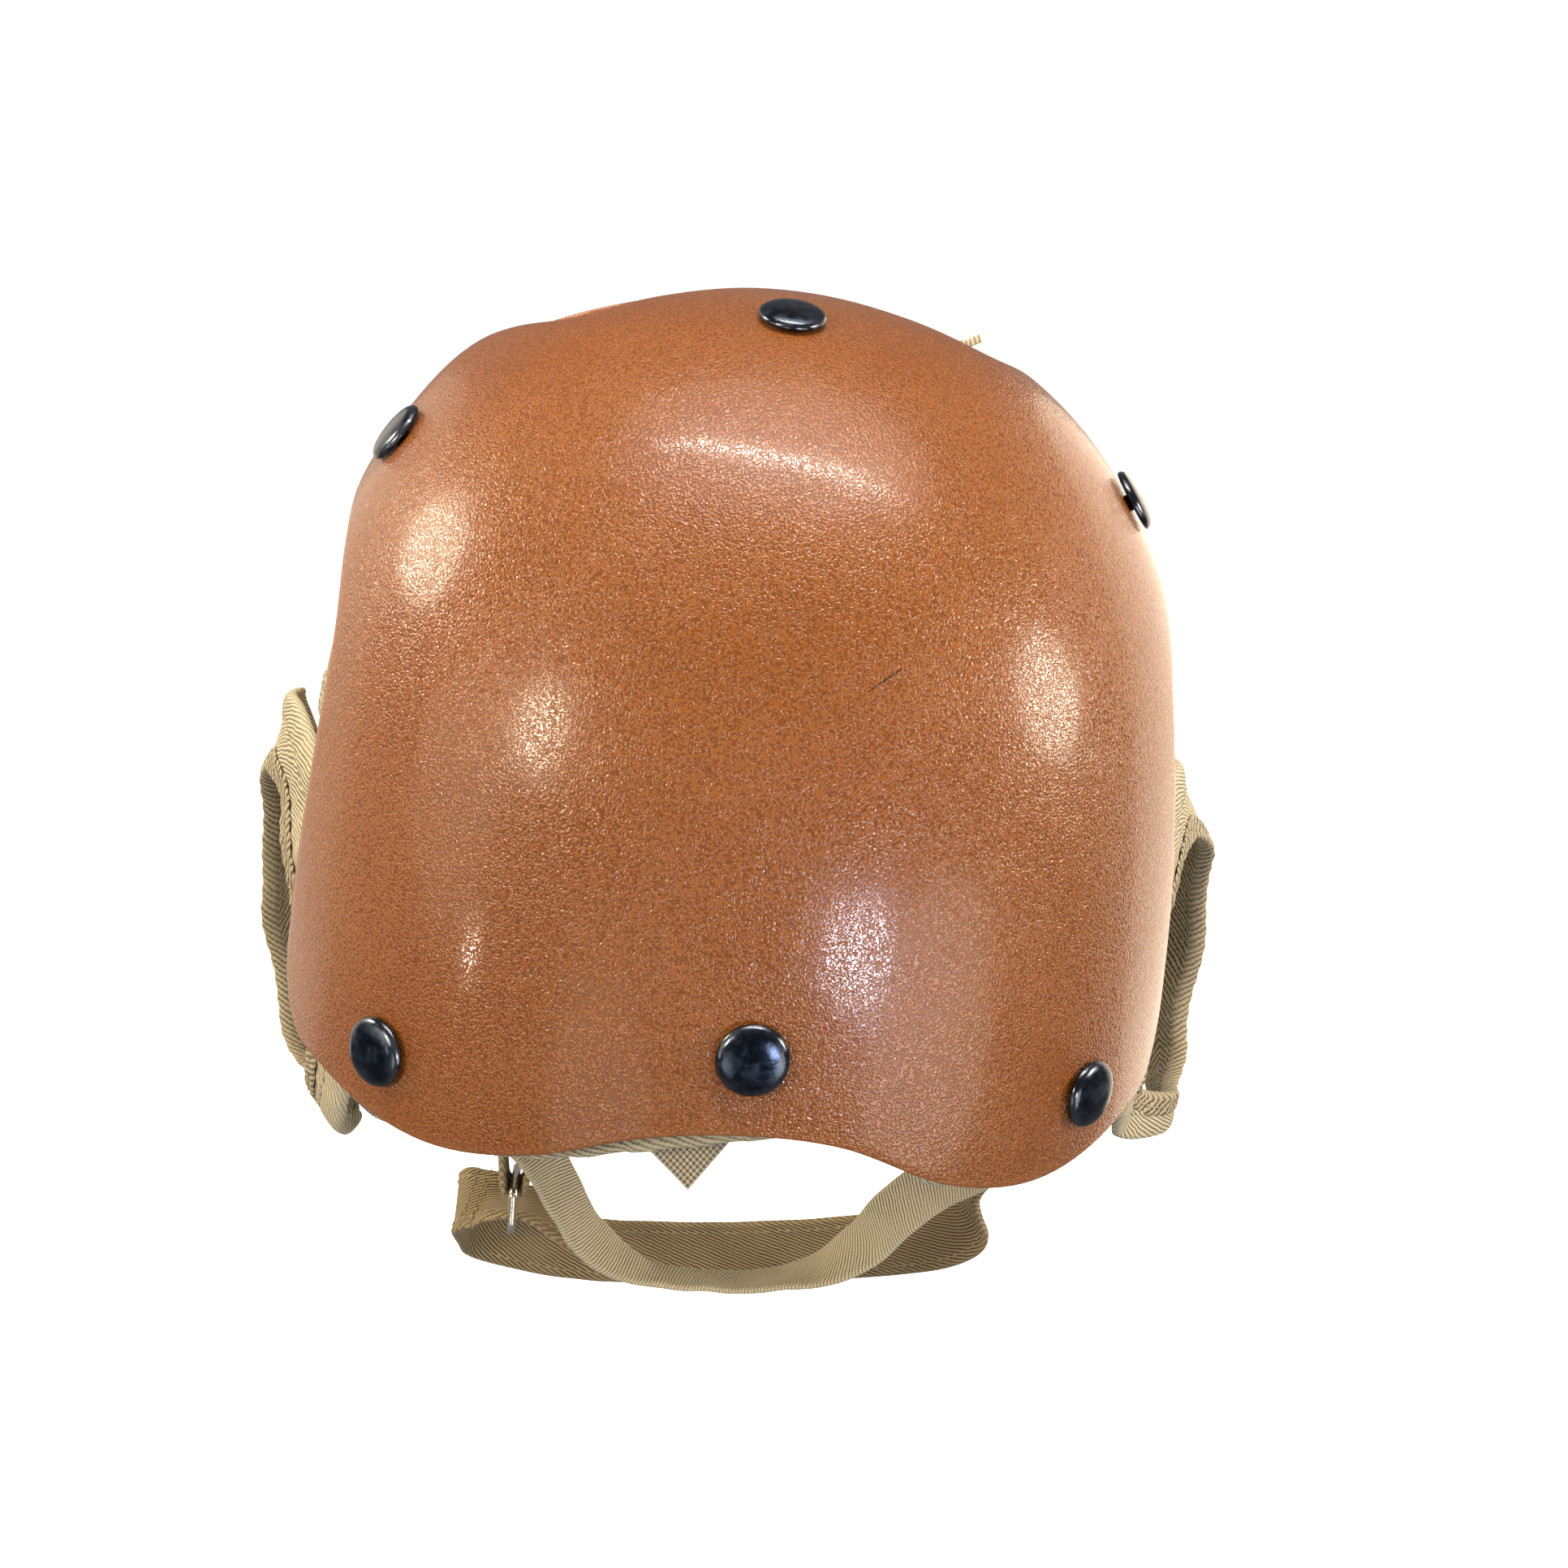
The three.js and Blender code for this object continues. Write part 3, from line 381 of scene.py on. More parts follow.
def makeWebbing():
    # Plain-woven nylon and cotton webbing: round threads with painted shade in the gaps between them and
    # their tops painted lighter, a faint gloss on top.
    material, tree, surface = newMaterial("wovenWebbing", {"Roughness": 0.7, "Sheen Weight": 0.15})
    wearAndWeaveShade = addNode(tree, "ShaderNodeAttribute", attribute_name="wearAndWeaveShade").outputs["Fac"]
    place = inMillimetres(tree, addNode(tree, "ShaderNodeTexCoord").outputs["Object"])
    fibres = addNode(tree, "ShaderNodeTexNoise", {"Vector": place, "Scale": 4.0, "Detail": 2.0})
    # Painted shade in the gaps between the threads and painted light on their tops, both from the weave's
    # height.
    tone = mixColours(tree, ranged(tree, wearAndWeaveShade, 0.45, 0.85), paint("#4A3E30"), paint("#E2D3B4"))
    tone = mixColours(tree, ranged(tree, fibres.outputs[0], 0.3, 0.7, 0.0, 0.5), tone, paint("#94866A"))
    tree.links.new(tone, surface.inputs["Base Color"])
    bump = addNode(tree, "ShaderNodeBump", {
        "Height": fibres.outputs[0], "Strength": 0.5, "Distance": 0.08 * mm})
    tree.links.new(bump.outputs[0], surface.inputs["Normal"])
    return material


def makeSnapMetal():
    # Stamped brass with a black oxide finish: near black with a blue cast, rubbed bright at the rim.
    material, tree, surface = newMaterial("blackenedBrass", {"Metallic": 1.0, "Roughness": 0.2})
    place = inMillimetres(tree, addNode(tree, "ShaderNodeTexCoord").outputs["Object"])
    patches = addNode(tree, "ShaderNodeTexNoise", {
        "Vector": place, "Scale": 0.3, "Detail": 5.0, "Roughness": 0.6})
    specks = addNode(tree, "ShaderNodeTexNoise", {"Vector": place, "Scale": 1.4, "Detail": 3.0})
    tone = mixColours(tree, ranged(tree, patches.outputs[0], 0.4, 0.65), paint("#262C38"), paint("#465061"))
    tone = mixColours(tree, ranged(tree, specks.outputs[0], 0.6, 0.68, 0.0, 0.7), tone, paint("#15140F"))
    wearAndWeaveShade = addNode(tree, "ShaderNodeAttribute", attribute_name="wearAndWeaveShade").outputs["Fac"]
    rubbed = calc(tree, "MULTIPLY", wearAndWeaveShade, ranged(tree, patches.outputs[0], 0.3, 0.6, 0.25, 0.8))
    tone = mixColours(tree, rubbed, tone, paint("#666A72"))
    tree.links.new(tone, surface.inputs["Base Color"])
    rough = ranged(tree, patches.outputs[0], 0.35, 0.65, 0.15, 0.28)
    tree.links.new(rough, surface.inputs["Roughness"])
    bump = addNode(tree, "ShaderNodeBump", {
        "Height": specks.outputs[0], "Strength": 0.3, "Distance": 0.05 * mm})
    tree.links.new(bump.outputs[0], surface.inputs["Normal"])
    return material


def makeNickel():
    # Nickel-plated steel wire: bright, a little yellow, with fine handling marks.
    material, tree, surface = newMaterial("platedNickel", {"Metallic": 1.0, "Roughness": 0.2})
    place = inMillimetres(tree, addNode(tree, "ShaderNodeTexCoord").outputs["Object"])
    marks = addNode(tree, "ShaderNodeTexNoise", {"Vector": place, "Scale": 1.1, "Detail": 5.0})
    tone = mixColours(tree, ranged(tree, marks.outputs[0], 0.4, 0.65), paint("#F0ECE2"), paint("#C9C2AE"))
    tree.links.new(tone, surface.inputs["Base Color"])
    tree.links.new(ranged(tree, marks.outputs[0], 0.35, 0.7, 0.12, 0.34), surface.inputs["Roughness"])
    return material


shellPlastic = makeShellPlastic()
capTwill = makeCloth("cottonTwillCap", clothLooks["cap"])
panelTwill = makeCloth("cottonTwillPanel", clothLooks["panel"])
bindingTwill = makeCloth("ribbedTwillBinding", clothLooks["binding"], 0.45)
strapTwill = makeCloth("cottonTwillStrap", clothLooks["strap"])
herringboneTape = makeCloth("herringboneCottonTape", clothLooks["herringbone"], 0.3)
sewingThread = makeThread()
wovenWebbing = makeWebbing()
snapMetal = makeSnapMetal()
platedNickel = makeNickel()
print("materials ready")


# Stitches: runs are collected by each piece and sewn at the end, one object for each slot

stitchRuns = {"cap_twill": [], "panel_twill": [], "herringbone_tape": [], "strap_twill": [], "zigzag": []}
stitchLook = {"pitch": 3.0, "length": 2.3, "thickness": 0.55}
zigzagLook = {"pitch": 1.94, "length": 1.7, "thickness": 0.5}      # one stitch from point to point


def makeStitchTree():
    tree = bpy.data.node_groups.new("sewnStitches", "GeometryNodeTree")
    sockets = tree.interface
    sockets.new_socket("Geometry", in_out="INPUT", socket_type="NodeSocketGeometry")
    for name in ("Pitch", "Length", "Thickness"):
        sockets.new_socket(name, in_out="INPUT", socket_type="NodeSocketFloat")
    sockets.new_socket("Seed", in_out="INPUT", socket_type="NodeSocketInt")
    sockets.new_socket("Thread", in_out="INPUT", socket_type="NodeSocketMaterial")
    sockets.new_socket("Geometry", in_out="OUTPUT", socket_type="NodeSocketGeometry")
    given = addNode(tree, "NodeGroupInput").outputs
    run = addNode(tree, "GeometryNodeMeshToCurve", {"Mesh": given["Geometry"]})
    run = addNode(tree, "GeometryNodeResampleCurve", {"Curve": run.outputs[0], "Length": given["Pitch"]},
                  mode="LENGTH")
    seed = addNode(tree, "GeometryNodeMeshUVSphere", {"Segments": 6, "Rings": 4, "Radius": 0.5})
    size = addNode(tree, "ShaderNodeCombineXYZ", {
        0: given["Length"], 1: given["Thickness"], 2: given["Thickness"]})
    stitch = addNode(tree, "GeometryNodeTransform", {"Geometry": seed.outputs[0], "Scale": size.outputs[0]})
    ahead = addNode(tree, "GeometryNodeInputTangent")
    turn = addNode(tree, "FunctionNodeAlignRotationToVector", {"Vector": ahead.outputs[0]}, axis="X")
    uneven = addNode(tree, "FunctionNodeRandomValue", {"Seed": given["Seed"]}, data_type="FLOAT")
    uneven.inputs[2].default_value, uneven.inputs[3].default_value = 0.85, 1.1
    sewn = addNode(tree, "GeometryNodeInstanceOnPoints", {
        "Points": run.outputs[0], "Instance": stitch.outputs[0], "Rotation": turn.outputs[0],
        "Scale": uneven.outputs[1]})
    plain = addNode(tree, "GeometryNodeRealizeInstances", {"Geometry": sewn.outputs[0]})
    dyed = addNode(tree, "GeometryNodeSetMaterial", {
        "Geometry": plain.outputs[0], "Material": given["Thread"]})
    addNode(tree, "NodeGroupOutput", {"Geometry": dyed.outputs[0]})
    return tree


def sewRuns(name, runs, look, tree, seed):
    points, edges = [], []
    for run in runs:
        start = len(points)
        points += (np.asarray(run) * mm).tolist()
        edges += [(start + step, start + step + 1) for step in range(len(run) - 1)]
    mesh = bpy.data.meshes.new(name + "_runs")
    mesh.from_pydata(points, edges, [])
    guide = bpy.data.objects.new(name + "_runs", mesh)
    bpy.context.collection.objects.link(guide)
    modifier = guide.modifiers.new("stitches", "NODES")
    modifier.node_group = tree
    settings = {"Pitch": look["pitch"] * mm, "Length": look["length"] * mm,
                "Thickness": look["thickness"] * mm, "Seed": seed, "Thread": sewingThread}
    for socket in tree.interface.items_tree:
        if socket.in_out == "INPUT" and socket.name in settings:
            modifier[socket.identifier] = settings[socket.name]
    shown = guide.evaluated_get(bpy.context.evaluated_depsgraph_get())
    sewn = bpy.data.meshes.new_from_object(shown)
    bpy.data.objects.remove(guide)
    bpy.data.meshes.remove(mesh)
    sewn.name = name
    piece = bpy.data.objects.new(name, sewn)
    bpy.context.collection.objects.link(piece)
    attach(piece, "root")
    print("sewn", name, len(sewn.polygons), "faces")


# Snaps: domed caps on the shells, sockets in the air gap, eyelets inside the cloth

snapSpots = {             # place across and level on the shell, 1 on the back and -1 on the front
    "snap_back_top": (0, -5, 1), "snap_back_bottom": (0, -156, 1),
    "snap_back_upper_left": (85, -36.5, 1), "snap_back_upper_right": (-85, -36.5, 1),
    "snap_back_lower_left": (76, -166, 1), "snap_back_lower_right": (-76, -166, 1),
    "snap_front_top": (0, 0.5, -1), "snap_front_brow": (0, -84, -1),
    "snap_front_upper_left": (84, -37, -1), "snap_front_upper_right": (-84, -37, -1),
    "snap_front_lower_left": (90, -111, -1), "snap_front_lower_right": (-90, -111, -1),
}
snapProfile = [           # radius, height above the shell, rubbed share
    (0, 3.1, 0), (1.2, 3.09, 0), (2.4, 3.03, 0), (3.6, 2.93, 0), (4.8, 2.76, 0.05), (5.8, 2.54, 0.15),
    (6.5, 2.27, 0.45), (7.0, 1.95, 0.9), (7.35, 1.55, 1), (7.52, 1.15, 0.9), (7.5, 0.8, 0.4),
    (7.3, 0.5, 0.2), (6.9, 0.4, 0), (6.3, 0.55, 0), (2.0, 0.6, 0), (2.0, -4.35, 0), (5.2, -4.4, 0.1),
    (5.65, -4.55, 0.5), (5.8, -4.9, 0.8), (5.8, -5.4, 0.8), (5.6, -5.8, 0.4), (5.1, -5.9, 0), (2.0, -5.9, 0),
    (2.0, -9.8, 0), (3.7, -9.8, 0.1), (4.2, -9.9, 0.6), (4.4, -10.2, 0.9), (4.2, -10.5, 0.8),
    (3.7, -10.6, 0.4), (3.0, -10.5, 0.1), (2.4, -10.2, 0), (0, -10.1, 0),
]
snapSides = 64


def snapPose(spot):
    across, level, side = spot
    point = np.array([across, side * backAt(across, level, form["shellOutside"]), level])
    return point, outwardAt(point, form["shellOutside"])


def makeSnap(name, spot):
    point, outward = snapPose(spot)
    first = np.cross(outward, [0.0, 0.0, 1.0] if abs(outward[2]) < 0.9 else [1.0, 0.0, 0.0])
    first /= np.linalg.norm(first)
    second = np.cross(outward, first)
    turn = np.linspace(0, 2 * math.pi, snapSides, endpoint=False)
    ring = np.cos(turn)[:, None] * first + np.sin(turn)[:, None] * second
    profile = np.array(snapProfile)
    fine = np.arange(0, len(profile) - 0.99, 0.5)    # a row between each two of the table
    profile = np.stack([np.interp(fine, np.arange(len(profile)), profile[:, k]) for k in range(3)], axis=1)
    grid = point + profile[:, None, :1] * ring[None] + profile[:, None, 1:2] * outward
    uv = flatUv(profile[:, 0], np.linspace(0, 1, snapSides + 1))
    piece = gridPiece(name + "_metal", grid, uv, wrapColumns=True, wearAndWeaveShade=profile[:, 2:])
    dress(piece, snapMetal, "snap_metal", name)


for name, spot in snapSpots.items():
    makeSnap(name, spot)
print("snaps set")


# Shells: patches of the form round their own middles, with a wall and an eased rim

backShell = {
    "name": "back_shell", "middleRise": 30, "side": 1,
    "outline": [      # turn from the middle, reach to the wearer's left, reach to the right
        (90, 46, 46), (73, 43, 43), (60, 44, 44), (55, 52, 52), (50, 58, 58), (40, 60, 60),
        (31, 58.3, 58.3), (19, 52.5, 52.5), (6, 50.5, 50.5), (-8, 55.5, 55.5), (-22, 67.5, 67.5),
        (-28.5, 74.5, 74.5), (-34, 75.5, 75.5), (-40, 72, 72), (-56, 64.7, 65.4), (-66, 59.3, 60.1),
        (-78, 53.2, 53.2), (-90, 51.5, 51.5),
    ],
}
frontShell = {
    "name": "front_shell", "middleRise": 46, "side": -1,
    "outline": [
        (90, 43, 43), (66, 43, 43), (52, 49, 49), (40, 54, 54), (24, 56, 56), (6, 54, 54),
        (-12, 56, 56), (-28, 60, 60), (-42, 57, 57), (-60, 44, 44), (-76, 38, 38), (-90, 36.5, 36.5),
    ],
}
shellMesh = {
    "columns": 240, "outerRows": 46, "innerRows": 24, "crowding": 0.85, "edgeSteps": 14, "edgeLift": 7,
    "dimple": 0.4, "dimpleRadius": 10,      # the shell is drawn in round its snaps
    "swell": 0.22, "swellLength": 70,
    "shoulder": (72, 22, -14), "shoulderRise": 1.6, "shoulderRadius": 16,
    "wearWidth": 1.1,
}
rimProfile = [            # millimetres in from the edge, drop from the outer face
    (0.9, 0), (0.4, -0.07), (0.12, -0.28), (0, -0.65), (0, -1.95), (0.12, -2.32), (0.4, -2.53), (0.9, -2.6),
]


def makeShell(shell):
    rise = math.radians(shell["middleRise"])
    side = shell["side"]
    middle = np.array([0, side * math.cos(rise), math.sin(rise)])
    upward = np.array([0, -side * math.sin(rise), math.cos(rise)])

    def toward(turn, reach):
        turn, reach = math.radians(turn), math.radians(reach)
        sideways = np.array([math.cos(turn), 0, 0]) + upward * math.sin(turn)
        return middle * math.cos(reach) + sideways * math.sin(reach)

    left = [toward(turn, reach) for turn, reach, _ in shell["outline"]]
    right = [toward(180 - turn, reach) for turn, _, reach in shell["outline"][-2:0:-1]]
    edge = catmullRom(left + right, shellMesh["edgeSteps"], closed=True)
    edge = evenly(edge, shellMesh["columns"], closed=True)
    edge /= np.linalg.norm(edge, axis=1, keepdims=True)
    reachOut = np.arccos(edge @ middle)
    ways = edge - middle * np.cos(reachOut)[:, None]
    ways /= np.linalg.norm(ways, axis=1, keepdims=True)
    reach = np.linalg.norm(onForm(edge, shellMesh["edgeLift"]) + [0, 0, form["rise"]], axis=1)
    outside = form["shellOutside"]
    inset = rimProfile[0][0]
    rows = [(part, inset, 0) for part in np.linspace(0, 1, shellMesh["outerRows"]) ** shellMesh["crowding"]]
    rows += [(1, down, drop) for down, drop in rimProfile[1:-1]]
    rows += [(part, inset, rimProfile[-1][1]) for part in np.linspace(1, 0, shellMesh["innerRows"])]
    angles = np.array([(reachOut - down / reach) * part for part, down, _ in rows])
    lifts = outside + np.array([drop for _, _, drop in rows])[:, None] * np.ones(len(edge))
    directions = middle * np.cos(angles)[..., None] + ways * np.sin(angles)[..., None]
    points = onForm(directions, lifts)
    dent = np.zeros(angles.shape)
    for spot in snapSpots.values():
        if spot[2] == side:
            away = np.linalg.norm(points - snapPose(spot)[0], axis=-1)
            dent += shellMesh["dimple"] * np.exp(-(away / shellMesh["dimpleRadius"]) ** 2)
    swell = ripple(points, shellMesh["swellLength"], shellMesh["swell"], seed=11)
    away = np.linalg.norm(points - shellMesh["shoulder"], axis=-1)
    swell += shellMesh["shoulderRise"] * np.exp(-(away / shellMesh["shoulderRadius"]) ** 2)
    points = onForm(directions, lifts - dent + swell)
    fromEdge = (reachOut - angles) * reach
    wearAndWeaveShade = np.exp(-((fromEdge / shellMesh["wearWidth"]) ** 2))
    piece = gridPiece(shell["name"] + "_plastic", points, np.zeros((len(rows), len(edge) + 1, 2)),
                      wrapColumns=True, wearAndWeaveShade=wearAndWeaveShade)
    dress(piece, shellPlastic, "shell_plastic", shell["name"])


makeShell(backShell)
makeShell(frontShell)


# Cloth cap: dome with seams, falling in over the ears, and the ribbed binding of its edge

capShape = {
    "edge": [         # turn from the back, level of the lower edge to the wearer's left and to the right
        (0, -174.3, -174.3), (6, -176.5, -172.8), (12, -178.5, -174.5), (18, -181, -179), (23, -183, -184),
        (30, -183.9, -184), (44, -183.5, -183.5), (49, -180, -180), (55, -116, -116), (64, -102, -102),
        (100, -102, -102), (116, -122, -122), (132, -128, -128), (150, -119, -119), (180, -111, -111),
    ],
    "sag": 3, "sagRound": 8, "sagDown": 4,              # the cloth falls in over the ears
    "columns": 440, "crownRows": 44, "sideRows": 40,
    "wrinkle": 0.5, "wrinkleLength": 26, "smoothShare": 0.25,
    "crownSeam": -58, "uprightSeams": (60, 112.5),      # level, turns from the back
    "groove": 0.6, "grooveWidth": 1.2, "drawnIn": 0.8,
    "stitchOff": 2.8, "stitchStand": 0.1, "crossHalf": 93, "crossSteps": 240,
    "uprightSteps": 90, "uprightEnd": 0.93, "uprightRadius": 106,
    "clothRadius": 108, "crownRadius": 118,             # lay the weave out at its real size
    "edgeLift": 1.1,
}


def capLevel(turn):
    keys, left, right = zip(*capShape["edge"])
    toLeft = np.degrees(np.arctan2(np.sin(turn), np.cos(turn)))
    sides = [easedTable(keys, levels, np.abs(toLeft)) for levels in (left, right)]
    return np.where(toLeft > 0, *sides)


def capPoints(turn, part, lift):
    layer = lift - capShape["sag"] * np.sin(turn) ** capShape["sagRound"] * part ** capShape["sagDown"]
    drop = dropTo(turn, capLevel(turn), layer) * part
    ways = np.stack([np.sin(drop) * np.sin(turn), np.sin(drop) * np.cos(turn), np.cos(drop)], axis=-1)
    return onForm(ways, layer), drop


def capSeams(points):      # 1 in a seam's groove, 0 away from it
    width = capShape["grooveWidth"]
    above = points[..., 2] - capShape["crownSeam"]
    seams = np.maximum(np.exp(-(above / width) ** 2), np.exp(-(points[..., 1] / width) ** 2) * (above > 0))
    turn = np.degrees(np.abs(np.arctan2(points[..., 0], points[..., 1])))
    radius = np.hypot(points[..., 0], points[..., 1])
    for place in capShape["uprightSeams"]:
        away = np.radians(turn - place) * radius
        seams = np.maximum(seams, np.exp(-(away / width) ** 2) * (above < 0))
    return seams


def capCloth(turn, part, lift):      # the cloth as it lies, drawn in at its seams and a little creased
    points, drop = capPoints(turn, part, lift)
    seams = capSeams(points)
    creases = ripple(points, capShape["wrinkleLength"], capShape["wrinkle"], seed=5)
    creases *= np.clip((part - capShape["smoothShare"]) * 2, 0, 1)
    shift = creases - capShape["wrinkle"] * capShape["drawnIn"] - capShape["groove"] * seams
    return points + outwardAt(points, lift) * shift[..., None], drop, seams


def capShare(turn, level, lift):     # share of the way down to the cap's edge
    return dropTo(turn, level, lift) / dropTo(turn, capLevel(turn), lift)


def makeCap():
    turns = np.linspace(0, 2 * math.pi, form["fineTurns"])
    edge, _ = capPoints(turns, np.ones(len(turns)), form["cloth"])
    along = lengthsAlong(edge)
    turns = np.interp(np.linspace(0, along[-1], capShape["columns"] + 1), along, turns)
    crown = np.linspace(0, 1, capShape["crownRows"])
    down = np.concatenate([crown, 1 + np.linspace(0, 1, capShape["sideRows"])])
    inZone = np.arange(len(down)) >= len(crown)
    steps, below = np.concatenate([down, down[::-1]]), np.concatenate([inZone, inZone[::-1]])
    lift = np.repeat([form["cloth"], 0.0], len(down))[:, None] * np.ones(len(turns))
    seam = capShare(turns, capShape["crownSeam"], lift)
    part = np.where(steps[:, None] > 1, seam + (1 - seam) * (steps[:, None] - 1), seam * steps[:, None])
    u = turns * np.ones_like(part)
    points, drop, seams = capCloth(u, part, lift)
    slope = drop * capShape["crownRadius"]
    domed = np.stack([slope * np.sin(u), slope * np.cos(u)], axis=-1)
    flat = np.stack([u * capShape["clothRadius"], slope], axis=-1)
    uv = np.where(below[:, None, None], flat, domed)
    piece = gridPiece("cap_twill_cloth", points[:, :-1], uv, wrapColumns=True, wearAndWeaveShade=seams[:, :-1] * 0.5)
    dress(piece, capTwill, "cap_twill", "cap_crown_back", "cap_crown_front", "cap_back", "cap_side_left",
          "cap_side_right", "cap_brow")
    sewCap(turns)


def sewCap(turns):                   # a row of stitches on both sides of each seam, on both faces
    off, gap, radius = capShape["stitchOff"], capShape["stitchStand"], capShape["clothRadius"]
    for lift, stand in ((form["cloth"], gap), (0.0, -gap)):
        def run(turn, part):
            points, _, _ = capCloth(turn, part, lift * np.ones_like(turn))
            stitchRuns["cap_twill"].append(points + outwardAt(points, lift) * stand)

        for side in (-off, off):
            run(turns, capShare(turns, capShape["crownSeam"] + side, lift))
            across = np.linspace(-capShape["crossHalf"], capShape["crossHalf"], capShape["crossSteps"])
            up = form["rise"] * np.sqrt(1 - (across / radius) ** 2)
            ways = np.stack([across, np.full(len(across), side), up], axis=1)
            drop = np.arctan2(np.hypot(ways[:, 0], ways[:, 1]), ways[:, 2])
            turn = np.arctan2(ways[:, 0], ways[:, 1])
            run(turn, drop / dropTo(turn, capLevel(turn), lift))
            steps, aside = capShape["uprightSteps"], side / capShape["uprightRadius"]
            for place in capShape["uprightSeams"]:
                for hand in (-1, 1):
                    turn = np.full(steps, hand * (math.radians(place) + aside))
                    top = capShare(turn[:1], capShape["crownSeam"] - off, lift)[0]
                    run(turn, np.linspace(top, capShape["uprightEnd"], steps))


def capStrip(ups, lifts, count):      # rows of points round the cap's edge, by height above it and lift
    turns = np.linspace(0, 2 * math.pi, form["fineTurns"])[:-1]
    middle = capShape["edgeLift"]
    edge, _ = capPoints(turns, np.ones(len(turns)), middle)
    edge = evenly(edge, count, closed=True)
    ahead = np.roll(edge, -1, 0) - np.roll(edge, 1, 0)
    ahead /= np.linalg.norm(ahead, axis=1, keepdims=True)
    inward = np.cross(outwardAt(edge, middle), ahead)
    inward /= np.linalg.norm(inward, axis=1, keepdims=True)
    inward *= np.sign(np.sum(inward[0] * [0, 0, 1]))
    up, lift = np.asarray(ups, float)[:, None, None], np.asarray(lifts, float)[:, None]
    points = edge + inward * up
    turn = np.arctan2(points[..., 0], points[..., 1])
    layer = lift - capShape["sag"] * np.sin(turn) ** capShape["sagRound"]
    return onForm(points + [0, 0, form["rise"]], layer), edge


bindingShape = {
    "section": [      # height above the cap's edge, lift from the hollow
        (8.8, 2.2), (8.7, 2.9), (8.1, 3.2), (7.0, 3.15), (6.2, 2.95), (5.2, 3.15), (3.4, 3.2), (1.6, 3.2),
        (0.4, 3.05), (-0.5, 2.6), (-0.95, 1.9), (-1.0, 1.1), (-0.9, 0.3), (-0.4, -0.4), (0.5, -0.75),
        (2.0, -0.85), (4.0, -0.85), (6.0, -0.85), (7.2, -0.75), (7.5, -0.4), (7.5, 0.1),
    ],
    "columns": 520, "stitchUp": 6.2, "stitchLifts": (3.15, -0.85),
    "pucker": 0.1, "puckerPitch": 4.2, "wrinkle": 0.25, "wrinkleLength": 30, "wearWidth": 2.5,
}


def makeBinding():
    shape = bindingShape
    ups, lifts = zip(*shape["section"])
    points, edge = capStrip(ups, lifts, shape["columns"])
    along = lengthsAlong(np.vstack([edge, edge[:1]]))
    pucker = shape["pucker"] * np.sin(along[:-1] * 2 * math.pi / shape["puckerPitch"])
    creases = ripple(points, shape["wrinkleLength"], shape["wrinkle"], seed=8)
    points = points + outwardAt(points, 2.0) * (pucker + creases)[..., None]
    around = lengthsAlong(np.array(shape["section"] + shape["section"][:1]))
    wearAndWeaveShade = np.clip(1 - np.abs(np.array(ups)) / shape["wearWidth"], 0, 1)[:, None]
    piece = gridPiece("cap_edge_binding", points, flatUv(around, along), wrapRows=True, wrapColumns=True,
                      wearAndWeaveShade=wearAndWeaveShade)
    dress(piece, bindingTwill, "cap_twill")
    for lift in shape["stitchLifts"]:
        run, _ = capStrip([shape["stitchUp"]], [lift], shape["columns"])
        stitchRuns["cap_twill"].append(np.vstack([run[0], run[0][:1]]))


makeCap()
makeBinding()


# Ear panels and their herringbone tapes: rings between the ear opening and the panel's edge

earShapes = {             # ovals: lengthwise place, level, half length, half height, power
    "left": {
        "side": 1, "wrinkleSeed": 21,
        "rim": (22, -155, 27, 38, 2.4), "edge": (16, -151, 50, 53, 2.6),
        "rimStand": (0, 3, 6, 9, 9.5, 4.5, -5, -3, 0), "edgeStand": (0, 0, 3, 4, 5, 4, -12, -6, 0),
    },
    "right": {
        "side": -1, "wrinkleSeed": 22,
        "rim": (22, -150, 27, 33, 2.4), "edge": (16, -146, 50, 48, 2.6),
        "rimStand": (0, 3, 9, 19.5, 22.5, 20.5, 15, 2, 0), "edgeStand": (0, 0, 4, 14, 16, 19.5, 16, 0, 0),
    },
}
earTurns = (0, 45, 90, 135, 180, 225, 270, 310, 360)      # of the stands: 0 to the back, 90 up
panelSection = [          # share of the way from rim to edge, millimetres from there, lift
    (0, 0.05, 3.4), (0, 0.15, 4.0), (0, 0.6, 4.45), (0, 1.6, 4.6), (0, 2.6, 4.45), (0, 3.1, 4.2),
    (0, 3.6, 4.45), (0.35, 0, 4.5), (0.5, 0, 4.5), (1, -8.2, 4.5), (1, -7.6, 4.55), (1, -7.2, 5.1),
    (1, -6.5, 5.05), (1, -6, 4.75), (1, -5.4, 5.05), (1, -4, 5.15), (1, -2.2, 5.1), (1, -0.9, 4.9),
    (1, -0.2, 4.4), (1, 0, 3.6), (1, -0.2, 2.9), (1, -0.9, 2.5), (1, -4, 2.4), (0.6, 0, 2.5),
    (0.4, 0, 2.5), (0, 4, 2.5), (0, 1, 2.5), (0, 0.3, 2.8),
]
tapeSection = [
    (0.66, 0, 1.7), (0.66, 0.3, 1.2), (0.66, 0, 0.8), (0.5, 0, 0.7), (0.3, 0, 0.7), (0, 2, 0.7),
    (0, 0.6, 0.85), (0, -0.4, 1.4), (0, -0.8, 2.4), (0, -0.9, 3.6), (0, -0.6, 4.6), (0, 0.1, 5.2),
    (0, 1.4, 5.45), (0, 3.2, 5.3), (0, 4.6, 5.4), (0, 5.2, 5.2), (0, 5.3, 4.8), (0, 4.8, 4.65),
    (0, 1.6, 4.7), (0, 0.2, 4.5), (0, -0.25, 3.6), (0, -0.2, 2.6), (0, 0.4, 2.0), (0, 2, 1.9),
    (0.3, 0, 1.9), (0.5, 0, 1.9),
]
